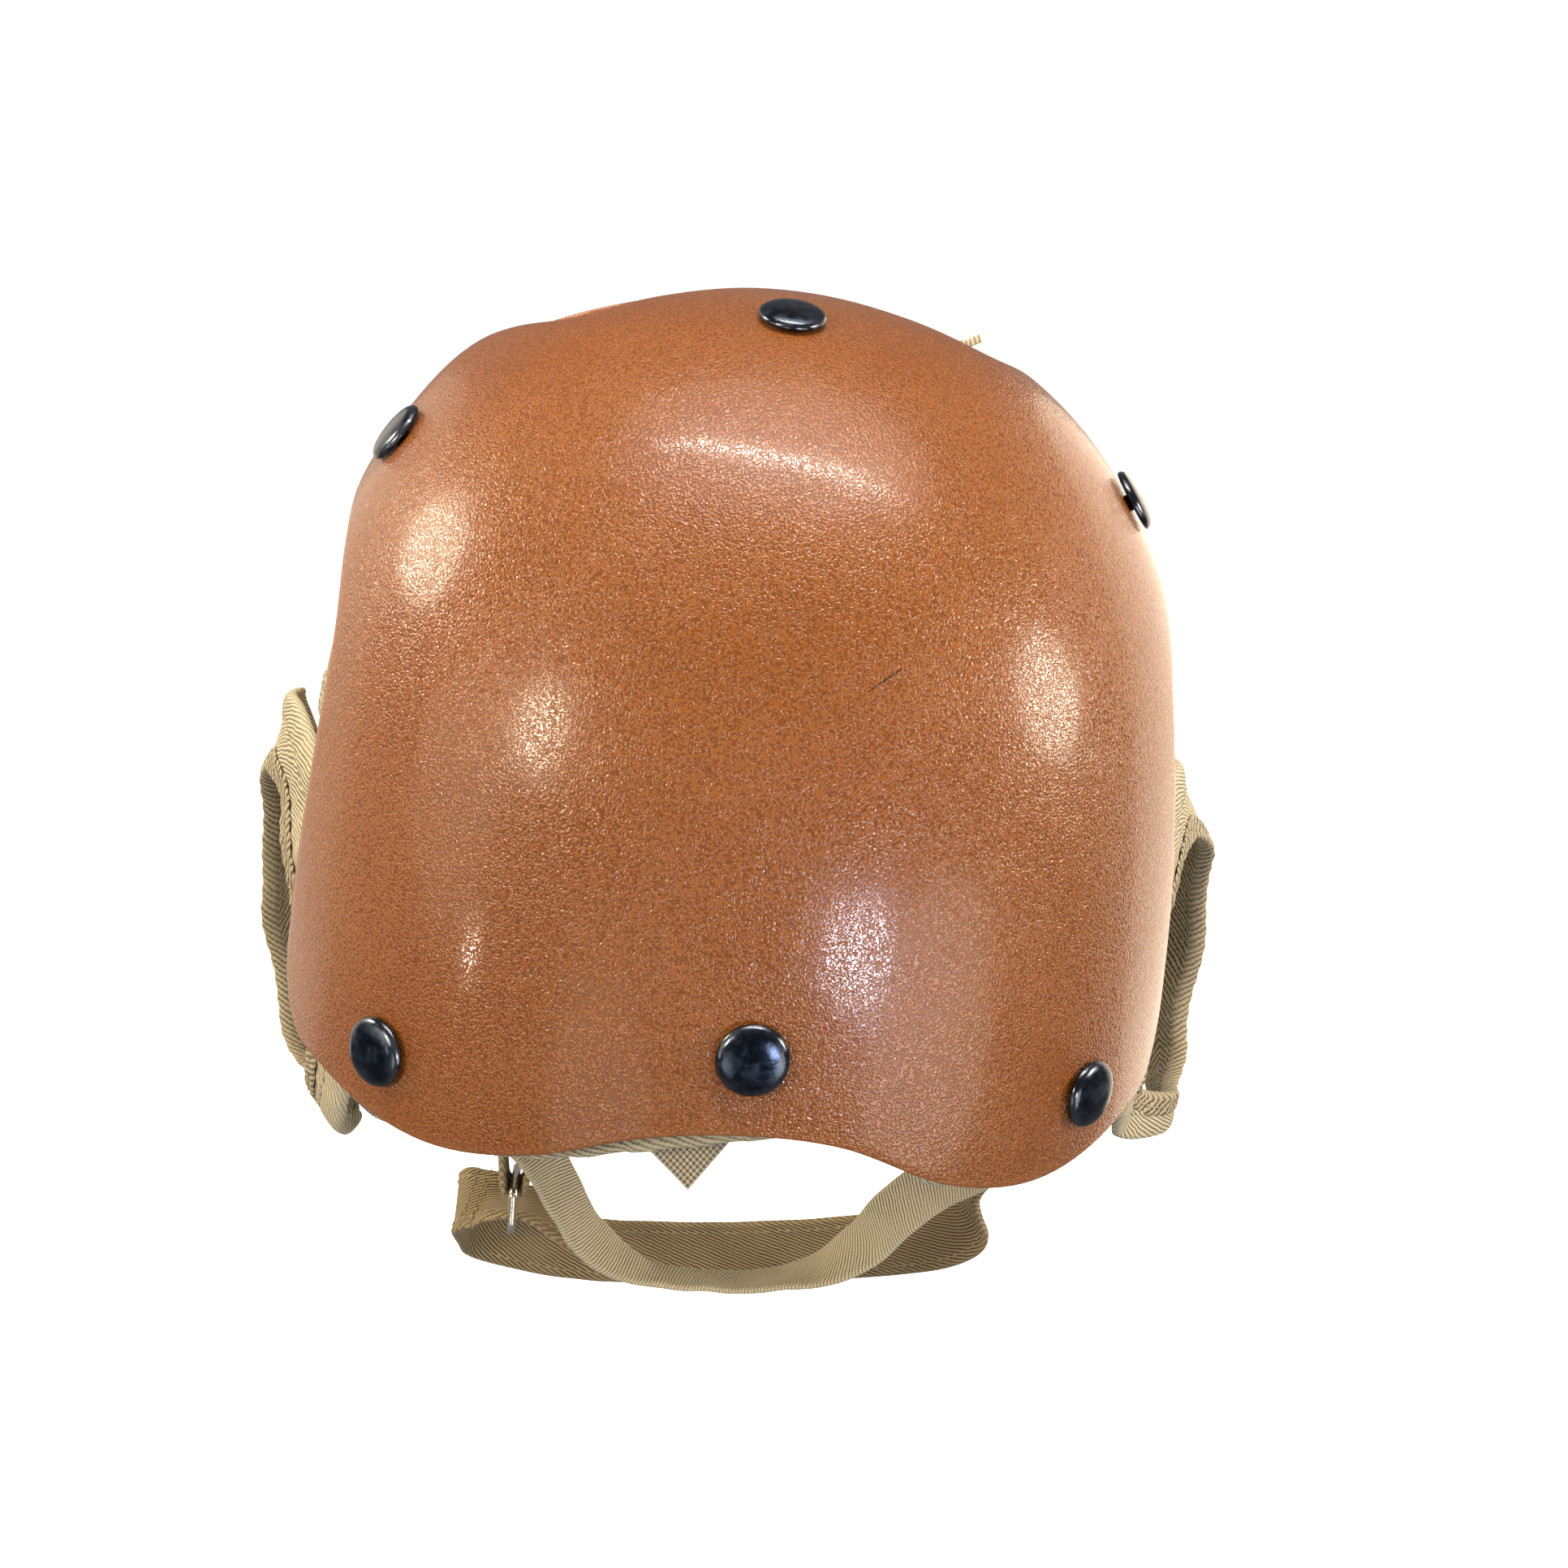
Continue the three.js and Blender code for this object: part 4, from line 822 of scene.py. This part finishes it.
earRuns = {               # stitches: share of the way from rim to edge, millimetres from there, lift
    "panel_twill": [(1, -6, 4.85), (1, -5.2, 2.35)],
    "herringbone_tape": [(0, 3.2, 5.4), (0.58, 0, 0.65), (0, 3, 0.62)],
}
earMesh = {
    "columns": 320, "sectionPoints": 76, "fineTurns": 1441, "stitchSteps": 400,
    "ringWidth": 19,                                    # usual width from rim to edge
    "wrinkle": 0.65, "wrinkleLength": 24, "wrinkleDepth": 0.3,
    "pucker": 0.14, "puckerPitch": 4.6,
    "middleLift": 3.5, "flankHalf": 0.7,                # the narrow flanks do not pucker
    "wearWidth": 1.6, "weaveStretch": 1.25,
}


def ovalAt(oval, turn):
    y, z, halfLength, halfHeight, power = oval
    cos, sin = np.cos(turn), np.sin(turn)
    reach = (np.abs(cos) ** power + np.abs(sin) ** power) ** (-1 / power)
    return y + halfLength * cos * reach, z + halfHeight * sin * reach


def earPoints(hand, turn, share, beyond, lift):
    ear = earShapes[hand]
    rimY, rimZ = ovalAt(ear["rim"], turn)
    edgeY, edgeZ = ovalAt(ear["edge"], turn)
    width = np.hypot(edgeY - rimY, edgeZ - rimZ)
    part = share + beyond / width
    degrees = np.degrees(turn) % 360
    rimStand = easedTable(earTurns, ear["rimStand"], degrees)
    edgeStand = easedTable(earTurns, ear["edgeStand"], degrees)
    y, z = rimY + (edgeY - rimY) * part, rimZ + (edgeZ - rimZ) * part
    x = sideAt(y, z, lift) + rimStand + (edgeStand - rimStand) * part
    flattened = np.stack([x * earMesh["wrinkleDepth"], y, z], axis=-1)
    x = x + ripple(flattened, earMesh["wrinkleLength"], earMesh["wrinkle"], ear["wrinkleSeed"])
    return np.stack([ear["side"] * x, y, z], axis=-1)


def evenTurns(hand, count):
    turns = np.linspace(0, 2 * math.pi, earMesh["fineTurns"])
    y, z = ovalAt(earShapes[hand]["rim"], turns)
    along = lengthsAlong(np.stack([y, z], axis=1))
    return np.interp(np.linspace(0, along[-1], count + 1), along, turns), along[-1]


def makeEarRing(hand, name, section, material, slotName, node, start):
    turns, length = evenTurns(hand, earMesh["columns"])
    width = earMesh["ringWidth"]
    table = np.array(section + section[:1], float)
    around = lengthsAlong(np.stack([table[:, 0] * width + table[:, 1], table[:, 2]], axis=1))
    places = np.linspace(0, around[-1], earMesh["sectionPoints"], endpoint=False)
    places = np.sort(np.concatenate([places, around[:-1]]))
    share, beyond, lift = (np.interp(places, around, table[:, k])[:, None] for k in range(3))
    along = np.linspace(0, length, earMesh["columns"] + 1)
    pucker = earMesh["pucker"] * np.sin(along[:-1] * 2 * math.pi / earMesh["puckerPitch"] + start)
    onFace = np.abs(lift - earMesh["middleLift"]) > earMesh["flankHalf"]
    grid = earPoints(hand, turns[:-1][None, :], share, beyond, lift + pucker * onFace)
    fromEdge = np.minimum(np.abs(share * width + beyond), np.abs((share - 1) * width + beyond))
    wearAndWeaveShade = np.clip(1 - fromEdge / earMesh["wearWidth"], 0, 1) * np.ones(len(turns) - 1)
    stretched = flatUv(np.append(places, around[-1]), along * earMesh["weaveStretch"])
    if material == herringboneTape:      # its columns run along the tape
        stretched = stretched[..., ::-1]
    piece = gridPiece(name, grid, stretched, wrapRows=True, wrapColumns=True, wearAndWeaveShade=wearAndWeaveShade)
    dress(piece, material, slotName, node)


for hand, start in (("left", 1), ("right", 2)):
    makeEarRing(hand, f"ear_panel_{hand}_cloth", panelSection, panelTwill, "panel_twill",
                f"ear_panel_{hand}", start)
    makeEarRing(hand, f"ear_tape_{hand}_cloth", tapeSection, herringboneTape, "herringbone_tape",
                f"ear_tape_{hand}", start + 4)
    sewTurns, _ = evenTurns(hand, earMesh["stitchSteps"])
    for slotName, rows in earRuns.items():
        stitchRuns[slotName] += [earPoints(hand, sewTurns, *row) for row in rows]


# Straps: flat twill bands with rolled hems, swept along rows of points and the way they lie

bandMesh = {
    "nearHem": 0.35, "nearWidth": 0.24,                 # cords of the hem, in shares of its width
    "farHem": 1.0, "farWidth": 0.22, "farRise": 0.75,
    "lowered": 0.4, "edgeHalf": 0.2, "nextHalf": 0.42,  # shares of the thickness
    "wrinkleLength": 16, "wearWidth": 1.2,
    "weaveRise": 0.3, "weaveStart": 50,                 # threads are counted from outside the band
    "stitchStand": 0.05, "zigzagStand": 0.15, "zigzagInset": 0.8, "zigzagSwing": 0.7, "zigzagTurns": 13,
}


def bandFrames(rows, perSpan):
    centre = catmullRom([row[:3] for row in rows], perSpan)
    apart = 1e-3 * np.arange(len(rows))              # a spline needs rows that differ
    lie = catmullRom([np.add(row[3:], [step, 0, 0]) for step, row in zip(apart, rows)], perSpan)
    ahead = np.gradient(centre, axis=0)
    ahead /= np.linalg.norm(ahead, axis=1, keepdims=True)
    across = lie - ahead * np.sum(lie * ahead, axis=1, keepdims=True)
    across /= np.linalg.norm(across, axis=1, keepdims=True)
    return centre, across, np.cross(ahead, across)


def weave(across, along, pitch):                  # height of round threads going over and under
    column, row = np.floor(across / pitch), np.floor(along / pitch)
    inColumn, inRow = 2 * (across / pitch - column) - 1, 2 * (along / pitch - row) - 1
    over = np.cos(math.pi * (along / pitch - 0.5 + column))
    under = np.cos(math.pi * (across / pitch - 0.5 + row))
    upright = np.sqrt(np.clip(1 - inColumn ** 2, 0, 1)) * (0.6 + 0.4 * over)
    level = np.sqrt(np.clip(1 - inRow ** 2, 0, 1)) * (0.6 - 0.4 * under)
    return np.maximum(upright, level)


def bandSection(band):
    side = np.linspace(-1, 1, band["count"])
    near = band["width"] / 2 * (1 - np.abs(side)) / band["hem"]
    cords = np.exp(-((near - bandMesh["nearHem"]) / bandMesh["nearWidth"]) ** 2)
    cords += bandMesh["farRise"] * np.exp(-((near - bandMesh["farHem"]) / bandMesh["farWidth"]) ** 2)
    half = band["thick"] / 2 * (1 + band["hemRise"] * (cords - bandMesh["lowered"]))
    half[0] = half[-1] = band["thick"] * bandMesh["edgeHalf"]
    half[1] = half[-2] = band["thick"] * bandMesh["nextHalf"]
    top = np.stack([side * band["width"] / 2, half], axis=1)
    return np.vstack([top, top[::-1] * [1, -1]])


def makeBand(name, band, material, slotName, node):
    centre, across, out = bandFrames(band["rows"], band["perSpan"])
    section = bandSection(band)
    grid = centre[:, None] + across[:, None] * section[None, :, :1] + out[:, None] * section[None, :, 1:]
    along = lengthsAlong(centre)
    fromEdge = band["width"] / 2 - np.abs(section[:, 0])
    wearAndWeaveShade = np.clip(1 - fromEdge / bandMesh["wearWidth"], 0, 1) * np.ones((len(along), 1))
    if "weave" in band:
        start = bandMesh["weaveStart"]
        height = weave(section[None, :, 0] + start, along[:, None] + start, band["weave"])
        rise = height * np.sign(section[None, :, 1]) * bandMesh["weaveRise"]
        grid += out[:, None] * rise[..., None]
        # On webbing the weave's height takes the place of the wear, to paint shade between the threads.
        wearAndWeaveShade = height
    grid += out[:, None] * bandCreases(grid, band)[..., None]
    around = np.concatenate([section[:, 0], section[:1, 0]])
    piece = gridPiece(name, grid, flatUv(along, around), wrapColumns=True, endCaps=True, wearAndWeaveShade=wearAndWeaveShade)
    dress(piece, material, slotName, node)
    if "zigzags" in band:
        sewZigzags(band, centre, across, out)
    for place in band.get("stitches", ()):
        for face in (1, -1):
            stand = face * (band["thick"] / 2 + bandMesh["stitchStand"])
            run = centre + across * place + out * stand
            stitchRuns["strap_twill"].append(run + out * bandCreases(run, band)[:, None])


def bandCreases(points, band):
    return ripple(points, bandMesh["wrinkleLength"], band["wrinkle"], seed=31)


def sewZigzags(band, centre, across, out):        # pointed rows of stitches from one hem to the other
    along = lengthsAlong(centre)
    half, turns = band["width"] / 2 - bandMesh["zigzagInset"], bandMesh["zigzagTurns"]
    steps = np.concatenate([[-half], (np.arange(turns) + 0.5) * 2 * half / turns - half, [half]])
    points = np.concatenate([[0], np.where(np.arange(turns) % 2, 1, -1), [0]])
    for place in band["zigzags"]:
        swing = place + bandMesh["zigzagSwing"] * points
        at, sideways, outward = (
            np.stack([np.interp(swing, along, way[:, k]) for k in range(3)], axis=1)
            for way in (centre, across, out))
        for face in (1, -1):
            stand = face * (band["thick"] / 2 + bandMesh["zigzagStand"])
            stitchRuns["zigzag"].append(at + sideways * steps[:, None] + outward * stand)


chinStrap = {
    "width": 19, "thick": 2.0, "hem": 3.0, "hemRise": 0.35, "count": 42, "perSpan": 14, "wrinkle": 0.2,
    "stitches": (-6.6, 6.6), "zigzags": (254, 257.4),   # places across, and along from the right end
    "rows": [             # place, then the way the width lies
        (-113, 4, -189, 0, 1, 0), (-97, 0, -200, 0, 1, -0.1), (-84, -7, -209, 0.1, 0.9, -0.4),
        (-77, -17, -221, 0, 0.8, -0.6), (-79, -27, -237.5, -0.45, 0.5, -0.75),
        (-74, -34, -245, -0.35, 0.25, -0.9), (-50, -49, -256, -0.1, 0, -1), (-10, -57, -263, 0, 0, -1),
        (28, -57, -263.5, 0, 0, -1), (45, -54.5, -260.5, 0, 0, -1), (57, -51, -256, 0, 0.1, -1),
        (63, -45, -250, 0, 0.5, -0.85), (64.4, -38, -244.5, 0, 0.72, -0.69),
        (62, -33, -241.5, 0, 0.78, -0.62), (57, -30.5, -240.3, 0, 0.85, -0.5),
        (52.5, -28.5, -240, 0, 1, -0.2), (49, -28, -240, 0, 1, -0.12), (44.5, -28, -240.4, 0, 1, -0.15),
        (37, -28.5, -243.5, 0, 1, -0.35), (29, -30, -248, 0, 0.9, -0.45),
    ],
}
chinBand = {
    "width": 14, "thick": 1.8, "hem": 1.6, "hemRise": 0.12, "count": 30, "perSpan": 10, "wrinkle": 0.35,
    "rows": [
        (93, 24, -188, 0, 1, 0), (83, 18, -199, 0.2, 1, 0), (68, 12, -205, 0.4, 0.9, 0),
        (51, 7, -208, 0.5, 0.8, -0.1), (41, 3, -217, 0.6, 0.75, -0.2), (35, -1, -228, 0.55, 0.8, -0.2),
        (28, -6, -240, 0.5, 0.8, -0.2), (13, -14, -252, 0.3, 1, 0), (-10, -18, -256, 0, 1, 0),
        (-33, -13, -250, -0.3, 1, 0), (-46, -6, -239, -0.6, 0.8, -0.3), (-53, -1, -228, -0.8, 0.6, -0.4),
        (-62, 5, -217, -0.9, 0.5, -0.4), (-76, 12, -207, -0.6, 0.8, 0), (-92, 19, -198, -0.2, 1, 0),
        (-101, 22, -188, 0, 1, 0),
    ],
}
ringTape = {
    "width": 17, "thick": 1.6, "hem": 2.4, "hemRise": 0.3, "count": 36, "perSpan": 10, "wrinkle": 0.08,
    "stitches": (-5.6, 5.6),
    "rows": [
        (99, -8, -186, 0, 1, 0), (90, -12, -198, 0, 1, 0), (76, -19, -206, 0, 1, 0),
        (62, -25, -211, 0, 1, 0), (54.5, -28, -217, 0, 1, 0), (52.8, -28, -225, 0, 1, 0),
        (52.2, -28, -231.5, 0, 1, 0), (51.2, -28, -234.6, 0, 1, 0), (49, -28, -235.6, 0, 1, 0),
        (46.8, -28, -234.6, 0, 1, 0), (45.8, -28, -231.5, 0, 1, 0), (45.4, -28, -224, 0, 1, 0),
        (47, -28, -216, 0, 1, 0), (55, -27, -209, 0, 1, 0),
    ],
}
crownTab = {
    "width": 19, "thick": 1.4, "hem": 1.0, "hemRise": 0.1, "count": 134, "perSpan": 36, "wrinkle": 0.1,
    "weave": 1.15,        # threads 1.1 mm apart, as in the webbing of the nape
    "rows": [
        (-22, 12, 2.3, 0, 1, 0), (-32, 12, 0.5, 0, 1, 0), (-40, 12, -1.6, 0, 1, 0),
        (-45, 11, -1.4, 0, 1, 0), (-47.6, 10.3, -0.4, 0, 1, 0),
    ],
}
makeBand("chin_strap_cloth", chinStrap, strapTwill, "strap_twill", "chin_strap")
makeBand("chin_band_cloth", chinBand, panelTwill, "strap_twill", "chin_band")
makeBand("ring_tape_cloth", ringTape, strapTwill, "strap_twill", "ring_tape")
makeBand("crown_tab_webbing", crownTab, wovenWebbing, "webbing", "crown_tab")


# Nape tab: a square of webbing that hangs cornerwise inside the nape

napeTab = {
    "size": 19, "thick": 1.3, "steps": 132,
    "weave": 1.15, "weaveStart": 50, "weaveRise": 0.45, "weaveSink": 0.3,
    "rimWidth": 0.5, "rimShare": 0.35,                  # thinned at its cut edges
    "x": 11, "tip": -189, "inside": 3.2, "spread": 0.85, "turn": 0.1, "lean": -0.12, "curl": 0.5,
}


def makeNapeTab():
    tab = napeTab
    places = np.linspace(-tab["size"] / 2, tab["size"] / 2, tab["steps"])
    sheet = np.stack(np.meshgrid(places, places, indexing="ij"), axis=-1)
    height = weave(sheet[..., 0] + tab["weaveStart"], sheet[..., 1] + tab["weaveStart"], tab["weave"])
    rimmed = np.minimum(1, (tab["size"] / 2 - np.abs(sheet).max(axis=-1)) / tab["rimWidth"])
    half = tab["thick"] / 2 - tab["weaveSink"] + tab["weaveRise"] * height
    half *= tab["rimShare"] + (1 - tab["rimShare"]) * rimmed
    front = np.stack([sheet[..., 0], half, sheet[..., 1]], axis=-1)
    back = np.stack([sheet[..., 0], -half, sheet[..., 1]], axis=-1)[::-1]
    local = np.concatenate([front, back])
    place = Matrix.Rotation(tab["lean"], 3, "X") @ Matrix.Rotation(tab["turn"], 3, "Y")
    place = place @ Matrix.Diagonal((tab["spread"], 1, 1)) @ Matrix.Rotation(math.pi / 4, 3, "Y")
    middle = tab["tip"] + tab["size"] * math.sqrt(0.5)
    y = float(backAt(tab["x"], middle, 0)) - tab["inside"]
    points = local @ np.array(place).T + [tab["x"], y, middle]
    points[..., 1] += tab["curl"] * ((points[..., 2] - middle) / tab["size"]) ** 2
    uv = flatUv(np.arange(len(local) + 1), np.arange(tab["steps"]))
    # The weave's height is handed on to paint shade between the threads.
    piece = gridPiece("nape_tab_webbing", points, uv, wrapRows=True, endCaps=True,
                      wearAndWeaveShade=np.concatenate([height, height[::-1]]))
    dress(piece, wovenWebbing, "webbing", "nape_tab")


makeNapeTab()


# Strap ring: round wire bent into a flat loop, its join inside the tape

ringShape = {
    "x": 49, "y": -28, "top": -232, "halfLength": 12.2, "drop": 13.7, "wire": 1.1,
    "lowerCorner": 3, "upperCorner": 1.4, "cornerSteps": 16, "steps": 200, "sides": 20,
}


def makeRing():
    ring = ringShape
    low, high, far = -ring["drop"] + ring["wire"], -ring["wire"], ring["halfLength"] - ring["wire"]
    corners = [(far, low, ring["lowerCorner"], -90), (far, high, ring["upperCorner"], 0),
               (-far, high, ring["upperCorner"], 90), (-far, low, ring["lowerCorner"], 180)]
    loop = []
    for y, z, bend, start in corners:
        centreY = y - math.copysign(bend, y)
        centreZ = z - bend if z == high else z + bend
        for turn in np.radians(np.linspace(start, start + 90, ring["cornerSteps"])):
            loop.append((centreY + bend * math.cos(turn), centreZ + bend * math.sin(turn)))
    loop = evenly(np.array(loop), ring["steps"], closed=True)
    ahead = np.roll(loop, -1, 0) - np.roll(loop, 1, 0)
    ahead /= np.linalg.norm(ahead, axis=1, keepdims=True)
    turn = np.linspace(0, 2 * math.pi, ring["sides"], endpoint=False)
    out = ring["wire"] * np.cos(turn)
    grid = np.zeros((ring["steps"], ring["sides"], 3))
    grid[..., 0] = ring["x"] + ring["wire"] * np.sin(turn)
    grid[..., 1] = ring["y"] + loop[:, :1] + out * ahead[:, 1:]
    grid[..., 2] = ring["top"] + loop[:, 1:] - out * ahead[:, :1]
    uv = flatUv(np.arange(ring["steps"] + 1), np.arange(ring["sides"] + 1))
    piece = gridPiece("strap_ring_wire", grid, uv, wrapRows=True, wrapColumns=True)
    dress(piece, platedNickel, "nickel", "strap_ring")


makeRing()

stitchTree = makeStitchTree()
zigzags = stitchRuns.pop("zigzag")
for seed, (slotName, runs) in enumerate(stitchRuns.items()):
    sewRuns(slotName + "_stitches", runs, stitchLook, stitchTree, seed)
sewRuns("strap_zigzags", zigzags, zigzagLook, stitchTree, 9)


# Floor, lights and camera

studio = {
    "floor": -0.42, "floorHalf": 8.0, "paper": ("#F6F6F6", "#FBFBFB"), "floorGlow": 1.0,
    "ambient": 0.24, "backdrop": 1.05,                  # world on the object, world behind it
    "target": (0, 0.05, -0.12), "distance": 1.2,
    "lights": [           # direction from the target, width, height, roll, brightness, colour
        ((-0.04, 0.385, 0.92), 0.94, 0.035, -20, 100, "#FFF6EA"),
        ((0.88, -0.09, 0.45), 0.45, 0.32, 0, 21, "#FFF0D6"),
        ((0.67, 0.72, 0.165), 0.3, 0.26, 0, 29, "#FFF0D6"),
        ((-0.88, 0.33, 0.28), 0.42, 0.36, 0, 21, "#FFF2DC"),
        ((-0.37, 0.91, -0.225), 0.26, 0.14, 0, 42, "#E6EAFF"),
        ((0.82, 0.52, -0.26), 0.1, 0.035, 0, 80, "#FFF2DC"),
        ((0.9, 0.4, 0.0), 0.6, 0.6, 0, 2.0, "#FFF0D6"),
        ((-0.6, 0.7, -0.35), 0.6, 0.6, 0, 4.4, "#FFF0E0"),
        ((0.35, 0.8, -0.45), 0.5, 0.5, 0, 2, "#FFF4E4"),
        ((0, 0.3, 0.94), 1.2, 0.9, 0, 2.5, "#FFF6EA"),
        ((0.75, -0.65, 0.1), 1.2, 1.4, 0, 1.0, "#FFEBD0"),
        ((-0.75, -0.65, 0.1), 1.2, 1.4, 0, 2.2, "#FFEBD0"),
    ],
}


def makeStudio():
    mesh = bpy.data.meshes.new("studio_floor")
    half = studio["floorHalf"]
    corners = [(x * half, y * half, studio["floor"]) for x, y in ((-1, -1), (1, -1), (1, 1), (-1, 1))]
    mesh.from_pydata(corners, [], [(0, 1, 2, 3)])
    floor = bpy.data.objects.new("studio_floor", mesh)
    bpy.context.collection.objects.link(floor)
    material, tree, surface = newMaterial("whitePaper", {
        "Roughness": 0.9, "Specular IOR Level": 0.1, "Emission Color": paint("#FFFFFF"),
        "Emission Strength": studio["floorGlow"]})
    place = addNode(tree, "ShaderNodeTexCoord").outputs["Object"]
    fibre = addNode(tree, "ShaderNodeTexNoise", {"Vector": place, "Scale": 40.0, "Detail": 3.0})
    tone = mixColours(tree, fibre.outputs[0], *(paint(code) for code in studio["paper"]))
    tree.links.new(tone, surface.inputs["Base Color"])
    floor.data.materials.append(material)
    floor.visible_diffuse = floor.visible_glossy = False
    bpy.context.scene.view_settings.view_transform = "Standard"
    world = bpy.data.worlds.new("softStudio")
    world.use_nodes = True
    bpy.context.scene.world = world
    seen = addNode(world.node_tree, "ShaderNodeLightPath").outputs["Is Camera Ray"]
    strength = ranged(world.node_tree, seen, 0.0, 1.0, studio["ambient"], studio["backdrop"])
    background = world.node_tree.nodes["Background"]
    background.inputs["Color"].default_value = paint("#FFFFFF")
    world.node_tree.links.new(strength, background.inputs["Strength"])
    target = Vector(studio["target"])
    for number, (way, width, height, roll, bright, colour) in enumerate(studio["lights"]):
        lamp = bpy.data.lights.new(f"softbox{number}", "AREA")
        lamp.shape = "ELLIPSE"
        lamp.size, lamp.size_y = width, height
        area = math.pi / 4 * width * height
        lamp.energy = bright * math.pi * area             # equally bright to the eye at any size
        lamp.color = paint(colour)[:3]
        light = bpy.data.objects.new(lamp.name, lamp)
        direction = Vector(way).normalized()
        light.location = target + direction * studio["distance"]
        rolled = Matrix.Rotation(math.radians(roll), 3, "Z").to_quaternion()
        light.rotation_euler = (direction.to_track_quat("Z", "Y") @ rolled).to_euler()
        bpy.context.collection.objects.link(light)


cameraFit = {             # place in mm, focal length in pixels of the photograph, turns in degrees
    "place": (35.1, 473.8, -57.8), "focal": 2285.66, "image": 1932, "sensor": 36,
    "yaw": 5.83, "pitch": 6.75, "roll": 4.97,
}


def makeCamera():
    yaw, pitch, roll = (math.radians(cameraFit[key]) for key in ("yaw", "pitch", "roll"))
    back = Vector((math.sin(yaw) * math.cos(pitch), math.cos(yaw) * math.cos(pitch), math.sin(pitch)))
    level = Vector((-math.cos(yaw), math.sin(yaw), 0))
    upright = back.cross(level)
    right = math.cos(roll) * level + math.sin(roll) * upright
    up = -math.sin(roll) * level + math.cos(roll) * upright
    data = bpy.data.cameras.new("photoCamera")
    data.sensor_width = cameraFit["sensor"]
    data.lens = cameraFit["focal"] / cameraFit["image"] * cameraFit["sensor"]
    camera = bpy.data.objects.new("photoCamera", data)
    place = Matrix.Translation(Vector(cameraFit["place"]) * mm)
    camera.matrix_world = place @ Matrix((right, up, back)).transposed().to_4x4()
    bpy.context.collection.objects.link(camera)
    bpy.context.scene.camera = camera


makeStudio()
makeCamera()
